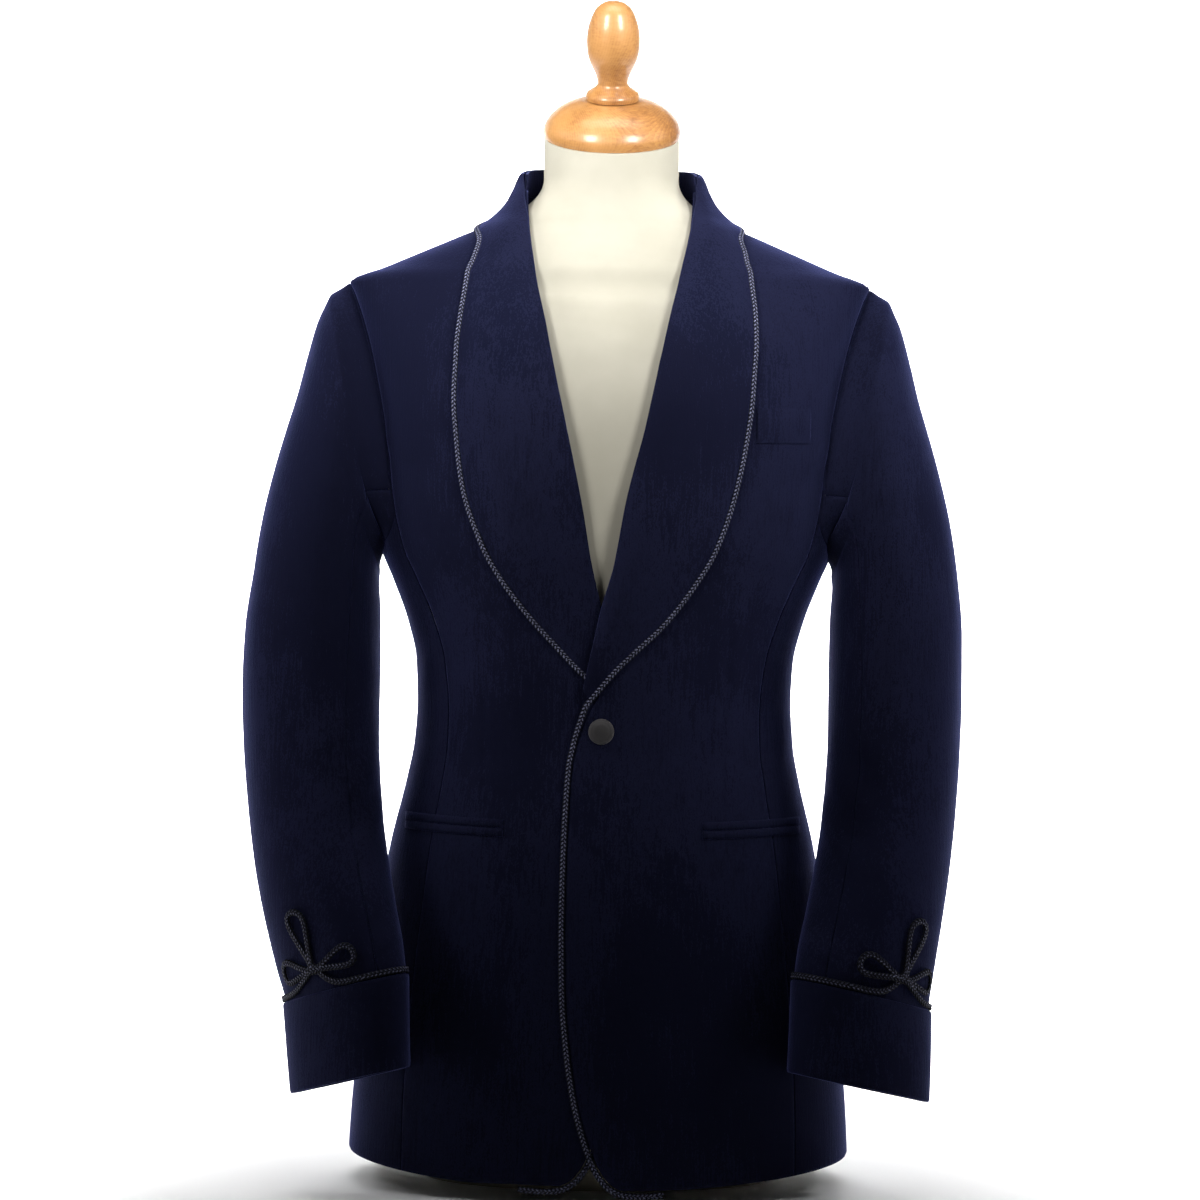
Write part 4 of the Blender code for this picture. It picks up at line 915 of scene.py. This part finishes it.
def plait_on_body(name, path, material):
    """A plaited cord along a path of angles, heights and lifts on the body."""
    length = lengths(body_point(path[:, 0], path[:, 1]))
    at = np.linspace(0, length[-1], round(length[-1] / (1.5 * MM)) + 1)
    angle, z, lift = smooth_all(np.column_stack([length, path]), at)
    centre, across, out = edge_frames(angle, z, lift + body_relief(angle, z))
    return plait(name, centre, across, out, material)


def left_edge_path():
    """The left braid's path: down the shawl, the front edge and round the bottom corner."""
    path = edge_path(1)
    edge = resample(FRONT_EDGE[1:], 4 * MM)
    angle = angle_at(edge[:, 0], edge[:, 1])
    drop = path[-1, 2] + (-CLOTH / 2 - path[-1, 2]) * fade(0.385, 0.352, edge[:, 1])
    return np.vstack([path, np.column_stack([angle, edge[:, 1], drop])])


def right_hem_path():
    """The right braid's short path that shows below the left front."""
    edge = FRONT_EDGE[FRONT_EDGE[:, 1] < CORNER_TOP]
    edge = np.column_stack([-edge[:, 0] - UNDERLAP_SHIFT[0], edge[:, 1] + UNDERLAP_SHIFT[1]])
    edge = resample(edge, 4 * MM)
    angle = angle_at(edge[:, 0], edge[:, 1])
    lift = underlap(edge[:, 0], edge[:, 1]) - CLOTH / 2
    return np.column_stack([angle, edge[:, 1], lift])


def teardrop(heading, length, width, level):
    """A whole loop of the knot, from its middle and back, in millimetres."""
    t = np.linspace(0.03, 0.97, 26)
    forward = np.sin(np.pi * t) ** 0.85 * length
    aside = np.sin(2 * np.pi * t) * width / 2 * (0.35 + 0.65 * np.sin(np.pi * t))
    h = math.radians(heading)
    return np.column_stack([forward * math.sin(h) + aside * math.cos(h),
                            forward * math.cos(h) - aside * math.sin(h), np.full_like(t, level)])


def knot_line():
    """The cuff cord's way through the knot, beside and above its middle, and the level it lies at."""
    low = (BRAID_WIDTH / 2 + BRAID_GAP - KNOT_RISE) / MM
    entry = [(x, low + y, 0) for x, y in KNOT_ENTRY]
    leave = [(x, low + y, 3.0 * y / 13) for x, y in KNOT_LEAVE]
    loops = [teardrop(*KNOT_LOOPS[number], level + 1.0) for level, number in enumerate(KNOT_ORDER)]
    return np.vstack([entry, *loops, leave])


def cuff_cord(side, name, material):
    """One plaited cord round the cuff's top edge and through its three-loop knot."""
    line = knot_line()
    s_knot = section_above(side, KNOT_TURN[side], line[:, 1] * MM + KNOT_RISE)
    turn_knot = KNOT_TURN[side] - np.degrees(line[:, 0] * MM / KNOT_RADIUS)
    turns = np.linspace(turn_knot[-1], turn_knot[0] - 360, 60)[1:-1]
    s_ring = np.array([section_above(side, t % 360, BRAID_WIDTH / 2 + BRAID_GAP) for t in turns])
    s = np.concatenate([s_knot, s_ring, s_knot[:1]])
    turn = np.concatenate([turn_knot, turns, turn_knot[:1] - 360])
    level = np.concatenate([line[:, 2], 0 * turns, [0]])
    length = lengths(sleeve_point(side, s, turn % 360))
    at = np.linspace(0, length[-1], round(length[-1] / (1.2 * MM)) + 1)
    s, turn, level = smooth_all(np.column_stack([length, s, turn, level]), at)
    lift = BRAID_THICKNESS / 2 + CORD_CLEAR + level * KNOT_CROSS
    centre = sleeve_point(side, s, turn % 360, lift)
    out = unit(sleeve_point(side, s, turn % 360, lift + MM) - centre)
    across = unit(np.cross(unit(np.gradient(centre, axis=0)), out))
    # The cuffs' cord gets its painted highlights dimmed, a painted shade.
    return plait(name, centre[:-1], across[:-1], out[:-1], material, closed=True, highlight_share=CUFF_CORD_SHADE)


def turned(name, profile, steps, material, place, wobble=0.0):
    """A turned solid: a smooth profile from the top down, in millimetres, round its axis."""
    t = 2 * np.pi * np.arange(steps) / steps
    rows = []
    for r, z in profile:
        if r > 0:
            rr = r * (1 + wobble * np.sin(24 * t) * (r > 8))
            rows.append(np.stack([rr * np.sin(t), rr * np.cos(t), np.full_like(t, z)], axis=1))
    ends = [[0, 0, profile[0, 1] * MM], [0, 0, profile[-1, 1] * MM]]
    thing = capped(name, np.array(rows) * MM, ends, material, 44, outward=True)
    thing.matrix_world = place
    return thing


def smooth_profile(profile, step):
    """The profile with more points, rounded between corners of more than about 57 degrees."""
    points = np.array(profile, float)
    length = lengths(points)
    heading = unit(np.diff(points, axis=0))
    corners = [i for i in range(1, len(points) - 1) if heading[i - 1] @ heading[i] < 0.55]
    corners = [0, *corners, len(points) - 1]
    found = [points[:1]]
    for i, j in zip(corners, corners[1:]):
        part = np.column_stack([length[i:j + 1], points[i:j + 1]])
        count = max(1, round((length[j] - length[i]) / step))
        at = np.linspace(length[i], length[j], count + 1)[1:]
        found.append(np.column_stack(smooth_all(part, at)))
    return np.vstack(found)


def fine_torso(name, columns, material):
    """The form's torso and neck: the body's skin drawn in, turning into a round slanting neck."""
    angle = np.arange(0, 360, 360 / columns)
    heights = np.concatenate([np.linspace(0, 0.68, 80), np.linspace(0.685, 0.796, 46)])
    turn = np.radians(angle)
    circle = np.stack([NECK_RADIUS * np.sin(turn), NECK_Y - NECK_RADIUS * np.cos(turn)], axis=1)
    rings = []
    for z in heights:
        inset = float(smooth(FORM_INSET, 1, z)) + 0.4 * MM
        body = body_point(angle, np.full_like(angle, z), -inset)
        mix = float(fade(*NECK_START, z))
        body[:, :2] = body[:, :2] * (1 - mix) + circle * mix
        sink = 0.9 * float(fade(0.69, 0.711, z)) * (1 - mix)
        body[:, 2] = z - inset * sink
        rings.append(body)
    top_z = NECK_TOP + (circle[:, 1] - NECK_Y) * math.tan(CAP_TILT)
    for share in np.linspace(0, 1, 14)[1:]:
        rings.append(np.column_stack([circle, rings[len(heights) - 1][:, 2] * (1 - share) + top_z * share]))
    return capped(name, np.array(rings), [[0, 0, 0], [0, NECK_Y, NECK_TOP]], material, 50)


def feed(tree, node, inputs):
    """Sets a node's inputs: an output is linked, anything else is the input's value."""
    for key, value in inputs.items():
        if isinstance(value, bpy.types.NodeSocket):
            tree.links.new(value, node.inputs[key])
        else:
            node.inputs[key].default_value = value


def add_node(tree, kind, inputs, **settings):
    node = tree.nodes.new("ShaderNode" + kind)
    for key, value in settings.items():
        setattr(node, key, value)
    feed(tree, node, inputs)
    return node


def new_material(name):
    material = bpy.data.materials.new(name)
    material.use_nodes = True
    tree = material.node_tree
    shader = tree.nodes["Principled BSDF"]
    feed(tree, shader, {"Metallic": 0.0})
    return material, tree, shader, add_node(tree, "TexCoord", {}).outputs["Object"]


def noise(tree, place, scale, stretch=(1, 1, 1), detail=3.0, roughness=0.5):
    mapping = add_node(tree, "Mapping", {"Scale": stretch, "Vector": place})
    texture = add_node(tree, "TexNoise", {"Scale": scale, "Detail": detail, "Roughness": roughness,
                                          "Vector": mapping.outputs["Vector"]})
    return texture.outputs["Fac"]


def ramp(tree, value, stops):
    node = add_node(tree, "ValToRGB", {"Fac": value})
    elements = node.color_ramp.elements
    for element, (at, colour) in zip(elements, (stops[0], stops[-1])):
        element.position = at
        element.color = (*colour, 1)
    for at, colour in stops[1:-1]:
        elements.new(at).color = (*colour, 1)
    return node.outputs["Color"]


def add_value(tree, first, second, weight):
    """The first value plus the weighted second one."""
    return add_node(tree, "Math", {0: second, 1: weight, 2: first}, operation="MULTIPLY_ADD").outputs[0]


def bump(tree, shader, height, distance, strength):
    node = add_node(tree, "Bump", {"Distance": distance, "Strength": strength, "Height": height})
    feed(tree, shader, {"Normal": node.outputs["Normal"]})


def to_range(tree, value, low, high, reach=1.0):
    inputs = {"From Max": reach, "To Min": low, "To Max": high, "Value": value}
    return add_node(tree, "MapRange", inputs).outputs["Result"]


def velvet(name):
    """Cotton velvet: deep navy with soft nap patches, fine upright streaks and a blue sheen."""
    material, tree, shader, place = new_material(name)
    patches = noise(tree, place, 9.0, (1, 1, 0.6), 3.0, 0.55)
    streaks = noise(tree, place, 34.0, (16, 16, 1.0), 3.0, 0.6)
    pile = noise(tree, place, 1100.0, (1, 1, 0.5), 2.0, 0.6)
    tone = add_value(tree, add_value(tree, patches, streaks, 0.5), pile, 0.5)
    stops = ((0.55, (0.0021, 0.0024, 0.0072)), (1.0, (0.0056, 0.0064, 0.0182)),
             (1.45, (0.0104, 0.0118, 0.0320)))
    feed(tree, shader, {
        "Base Color": ramp(tree, tone, stops), "Roughness": to_range(tree, patches, 0.75, 0.95),
        "Specular IOR Level": 0.03, "Sheen Weight": 0.60, "Sheen Roughness": 0.36,
        "Sheen Tint": (0.165, 0.195, 0.54, 1)})
    bump(tree, shader, add_value(tree, streaks, pile, 0.8), 0.0008, 0.35)
    return material


def cord_look(name):
    """Plaited cord: each strand of parallel threads, blue-grey flecks on near black, the blue-grey laid on as
    painted highlight where the strands ride high and the near black as painted shade where they dip.
    """
    material, tree, shader, place = new_material(name)
    # The painted_crown attribute carries the plait's painted highlight and painted shade into the colour.
    painted_crown = add_node(tree, "Attribute", {}, attribute_name="painted_crown").outputs["Fac"]
    along = add_node(tree, "Attribute", {}, attribute_name="along").outputs["Fac"]
    wave = add_node(tree, "Math", {0: along, 1: 2 * math.pi / THREAD_LENGTH}, operation="MULTIPLY").outputs[0]
    sine = add_node(tree, "Math", {0: wave}, operation="SINE").outputs[0]
    fibre = noise(tree, place, 900.0, (1, 1, 1), 2.0, 0.6)
    tone = add_value(tree, add_value(tree, painted_crown, fibre, 0.5), sine, 0.06)
    tone = to_range(tree, tone, 0.0, 0.8, 1.3)
    # Near black is painted shade in the strands' dips; the blue-grey top stop is painted highlight.
    stops = ((0.25, (0.0010, 0.0012, 0.0022)), (0.50, (0.010, 0.011, 0.020)), (1.10, (0.46, 0.48, 0.74)))
    feed(tree, shader, {
        "Base Color": ramp(tree, tone, stops), "Roughness": to_range(tree, fibre, 0.5, 0.7),
        "Specular IOR Level": 0.12, "Sheen Weight": 0.03, "Sheen Tint": (0.5, 0.55, 0.8, 1)})
    bump(tree, shader, tone, 0.0004, 0.7)
    return material


def woven(name, dark, light, scale, roughness, sheen, tint, depth):
    """A plain fine weave in two close colours."""
    material, tree, shader, place = new_material(name)
    waves = [add_node(tree, "TexWave", {"Scale": scale, "Distortion": 0.6, "Detail": 1.0, "Vector": place},
                      bands_direction=direction).outputs["Fac"] for direction in ("X", "Z")]
    weave = add_value(tree, waves[0], waves[1], 1.0)
    cloud = noise(tree, place, 24.0, (1, 1, 1), 3.0, 0.5)
    tone = add_value(tree, cloud, weave, 0.10)
    feed(tree, shader, {
        "Base Color": ramp(tree, tone, ((0.35, dark), (0.85, light))),
        "Roughness": to_range(tree, cloud, roughness - 0.05, roughness + 0.05),
        "Specular IOR Level": 0.3, "Sheen Weight": sheen, "Sheen Tint": (*tint, 1)})
    bump(tree, shader, weave, depth, 0.4)
    return material


def beech(name):
    """Varnished beech: growth rings round a slanting heart, short dark flecks, a clear coat."""
    material, tree, shader, place = new_material(name)
    mapping = add_node(tree, "Mapping", {
        "Location": (-0.0155, 0.0, 0.0), "Rotation": (math.radians(66), 0, math.radians(4)),
        "Scale": (1.0, 1.35, 0.25), "Vector": place})
    inputs = {"Scale": 230.0, "Distortion": 3.0, "Detail": 3.0, "Detail Scale": 1.2,
              "Vector": mapping.outputs["Vector"]}
    rings = add_node(tree, "TexWave", inputs, wave_type="RINGS", rings_direction="Z", wave_profile="SAW")
    flecks = noise(tree, place, 620.0, (0.35, 0.35, 1.0), 2.0, 0.6)
    clouds = noise(tree, place, 26.0, (1, 1, 0.6), 3.0, 0.5)
    tone = add_value(tree, add_value(tree, clouds, rings.outputs["Fac"], 0.12), flecks, 0.42)
    stops = ((0.45, (0.52, 0.265, 0.090)), (0.75, (0.43, 0.205, 0.062)), (1.02, (0.25, 0.10, 0.028)))
    feed(tree, shader, {
        "Base Color": ramp(tree, tone, stops), "Roughness": to_range(tree, flecks, 0.38, 0.50),
        "Coat Weight": 0.6, "Coat Roughness": 0.20})
    bump(tree, shader, flecks, 0.0002, 0.15)
    return material


def place_button(name, material):
    x, z = BUTTON
    angle = float(angle_at(x, z))
    seat = body_point(angle, z)
    out = Vector(unit(body_point(angle, z, MM) - seat))
    place = Matrix.Translation(Vector(seat)) @ out.to_track_quat("Z", "Y").to_matrix().to_4x4()
    return turned(name, smooth_profile(BUTTON_PROFILE, 0.35), 96, material, place, wobble=0.006)


def dress(piece, node):
    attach(piece, "root")
    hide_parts(node)


def declare_sheet(node):
    """Splits the node's name into its stem and its side; nothing is done with them."""
    stem, _, word = node.rpartition("_")
    if word not in ("left", "right"):
        stem, word = node, ""


def soft_light(name, place, aim, size, power, spread_angle, glossy=True):
    data = bpy.data.lights.new(name, "AREA")
    data.shape = "RECTANGLE"
    data.size, data.size_y = size
    data.energy = power
    data.spread = math.radians(spread_angle)
    lamp = bpy.data.objects.new(name, data)
    lamp.location = place
    lamp.visible_glossy = glossy
    lamp.rotation_euler = (Vector(aim) - Vector(place)).to_track_quat("-Z", "Y").to_euler()
    bpy.context.scene.collection.objects.link(lamp)


# Distances from the object at which the floor starts to glow for the camera and is fully white.
CLEAR_FLOOR = 0.35
WHITE_FLOOR = 0.95
# The stage: half its width, where the floor starts in front and turns up behind, its bend and top.
STAGE_REACH = 6.0
STAGE_BACK = 1.8
STAGE_BEND = 0.8
STAGE_TOP = 5.0


def make_stage():
    """A pale floor that turns up into a backdrop, white away from the object and clear from behind."""
    turn = np.radians(np.linspace(0, 90, 12))
    y = np.concatenate([[-STAGE_REACH], STAGE_BACK + STAGE_BEND * np.sin(turn), [STAGE_BACK + STAGE_BEND]])
    z = np.concatenate([[0.0], STAGE_BEND * (1 - np.cos(turn)), [STAGE_TOP]])
    grid = np.array([[(a, b, c) for a in (-STAGE_REACH, STAGE_REACH)] for b, c in zip(y, z)])
    material, tree, shader, place = new_material("stage_white")
    cloud = noise(tree, place, 2.0, (1, 1, 1), 2.0, 0.5)
    away = add_node(tree, "VectorMath", {0: place}, operation="LENGTH").outputs["Value"]
    brighter = add_node(tree, "MapRange", {"From Min": CLEAR_FLOOR, "From Max": WHITE_FLOOR, "Value": away})
    camera_only = add_node(tree, "LightPath", {}).outputs["Is Camera Ray"]
    seen = add_node(tree, "Math", {0: brighter.outputs["Result"], 1: camera_only}, operation="MULTIPLY")
    feed(tree, shader, {
        "Base Color": ramp(tree, cloud, ((0.3, (0.90, 0.90, 0.90)), (0.7, (0.93, 0.93, 0.93)))),
        "Roughness": 0.9, "Emission Strength": seen.outputs["Value"], "Emission Color": (1, 1, 1, 1)})
    see_through = add_node(tree, "BsdfTransparent", {}).outputs["BSDF"]
    behind = add_node(tree, "NewGeometry", {}).outputs["Backfacing"]
    one_sided = add_node(tree, "MixShader", {"Fac": behind, 1: shader.outputs["BSDF"], 2: see_through})
    feed(tree, tree.nodes["Material Output"], {"Surface": one_sided.outputs["Shader"]})
    floor = mesh_object("floor", grid.reshape(-1, 3), grid_faces(len(grid), 2).tolist(), material, 180)


def make_camera():
    data = bpy.data.cameras.new("camera")
    data.lens = CAMERA_LENS
    data.sensor_width = CAMERA_SENSOR
    camera = bpy.data.objects.new("camera", data)
    camera.matrix_world = (Matrix.Translation((CAMERA_ACROSS, -CAMERA_AWAY, CAMERA_HEIGHT))
                           @ Matrix.Rotation(math.radians(90), 4, "X")
                           @ Matrix.Rotation(math.radians(CAMERA_ROLL), 4, "Z"))
    bpy.context.scene.collection.objects.link(camera)
    bpy.context.scene.camera = camera


def make_lights():
    for word, x in (("left", -1), ("right", 1)):
        soft_light("window_" + word, (0.55 * x, -0.85, 1.15), (0, 0, 0.90), (0.30, 0.50), 1.7, 58)
        soft_light("side_" + word, (1.1 * x, -0.15, 1.15), (0.2 * x, 0, 0.72), (0.3, 0.6), 1.5, 60, False)
        soft_light("floor_" + word, (0.80 * x, 0.20, 0.50), (0.80 * x, 0.20, 0), (0.5, 0.9), 6, 90)
    soft_light("overhead", (0.0, -0.22, 1.45), (0, -0.02, 0.7), (0.8, 0.3), 0.8, 90)
    soft_light("behind", (0.0, 0.9, 2.4), (0, 2.3, 0.7), (2.6, 0.8), 90, 110)
    soft_light("floor_glow", (0.0, 1.25, 2.0), (0, 1.35, 0.0), (2.4, 0.8), 50, 80)
    world = bpy.data.worlds.new("studio")
    world.use_nodes = True
    tree = world.node_tree
    seen = add_node(tree, "LightPath", {}).outputs["Is Camera Ray"]
    power = to_range(tree, seen, WORLD_LIGHT, WORLD_SEEN)
    feed(tree, tree.nodes["Background"], {"Color": (1, 1, 1, 1), "Strength": power})
    bpy.context.scene.world = world
    bpy.context.scene.view_settings.view_transform = "Standard"


def cloth_pieces(cloth):
    """The cloth pieces with the nodes that they stand for."""
    pieces = []
    for side, word in ((1, "left"), (-1, "right")):
        top_turns = (-SLEEVE_SEAM, SLEEVE_SEAM, 56)
        under_turns = (SLEEVE_SEAM, 360 - SLEEVE_SEAM, 26)
        for stem, make, values in (
                ("front", fine_front, ()), ("side", fine_side, ()), ("back", fine_back, ()),
                ("collar", fine_shawl, ()), ("top_sleeve", fine_sleeve, top_turns),
                ("under_sleeve", fine_sleeve, under_turns), ("cuff", fine_cuff, ())):
            pieces.append((make(side, f"cloth_{stem}_{word}", *values, cloth), f"{stem}_{word}"))
        for stem, box in (("hip_jet_lower", JET_LOW), ("hip_jet_upper", JET_HIGH)):
            pieces.append((fine_patch(f"cloth_{stem}_{word}", box, side, 1.1 * MM, cloth), f"{stem}_{word}"))
    pieces.append((fine_patch("cloth_breast_welt", WELT, 1, 1.0 * MM, cloth), "breast_welt"))
    pieces.append((fine_stand("cloth_collar_stand", cloth), "collar_stand"))
    return pieces


def main():
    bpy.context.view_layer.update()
    cloth = velvet("velvet_navy")
    cord = cord_look("cord_plait")
    for piece, node in cloth_pieces(cloth):
        dress(piece, node)
        declare_sheet(node)
    dress(plait_on_body("cord_edge_left", left_edge_path(), cord), "edge_braid_left")
    dress(plait_on_body("cord_edge_right", edge_path(-1), cord), "edge_braid_right")
    dress(plait_on_body("cord_hem_right", right_hem_path(), cord), "hem_braid_right")
    dress(cuff_cord(1, "cord_cuff_left", cord), "cuff_braid_left")
    dress(cuff_cord(-1, "cord_cuff_right", cord), "cuff_braid_right")
    satin = woven("satin_charcoal", (0.026, 0.024, 0.025), (0.048, 0.045, 0.046), 420.0, 0.5, 0.25,
                  (0.8, 0.8, 0.85), 0.0002)
    dress(place_button("button_front", satin), "front_button")
    cream = woven("cream_cover", (0.40, 0.378, 0.305), (0.45, 0.427, 0.352), 420.0, 0.85, 0.05,
                  (1, 1, 1), 0.0003)
    dress(fine_torso("form_body", 120, cream), "form_torso")
    wood = beech("beech_varnished")
    tilt = Matrix.Translation((0, NECK_Y, NECK_TOP)) @ Matrix.Rotation(CAP_TILT, 4, "X")
    dress(turned("form_cap", smooth_profile(CAP_PROFILE, 1.4), 128, wood, tilt), "form_neck_cap")
    finial = tilt @ Matrix.Translation((0, 0, CAP_HEIGHT))
    dress(turned("form_knob", smooth_profile(FINIAL_PROFILE, 1.2), 96, wood, finial), "form_finial")
    make_stage()
    make_camera()
    make_lights()


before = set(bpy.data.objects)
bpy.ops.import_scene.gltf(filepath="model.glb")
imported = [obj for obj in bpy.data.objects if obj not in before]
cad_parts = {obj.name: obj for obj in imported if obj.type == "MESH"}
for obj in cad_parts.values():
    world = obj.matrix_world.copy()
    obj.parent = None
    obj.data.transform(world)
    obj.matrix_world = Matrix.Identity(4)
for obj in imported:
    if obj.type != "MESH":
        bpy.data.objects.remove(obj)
main()
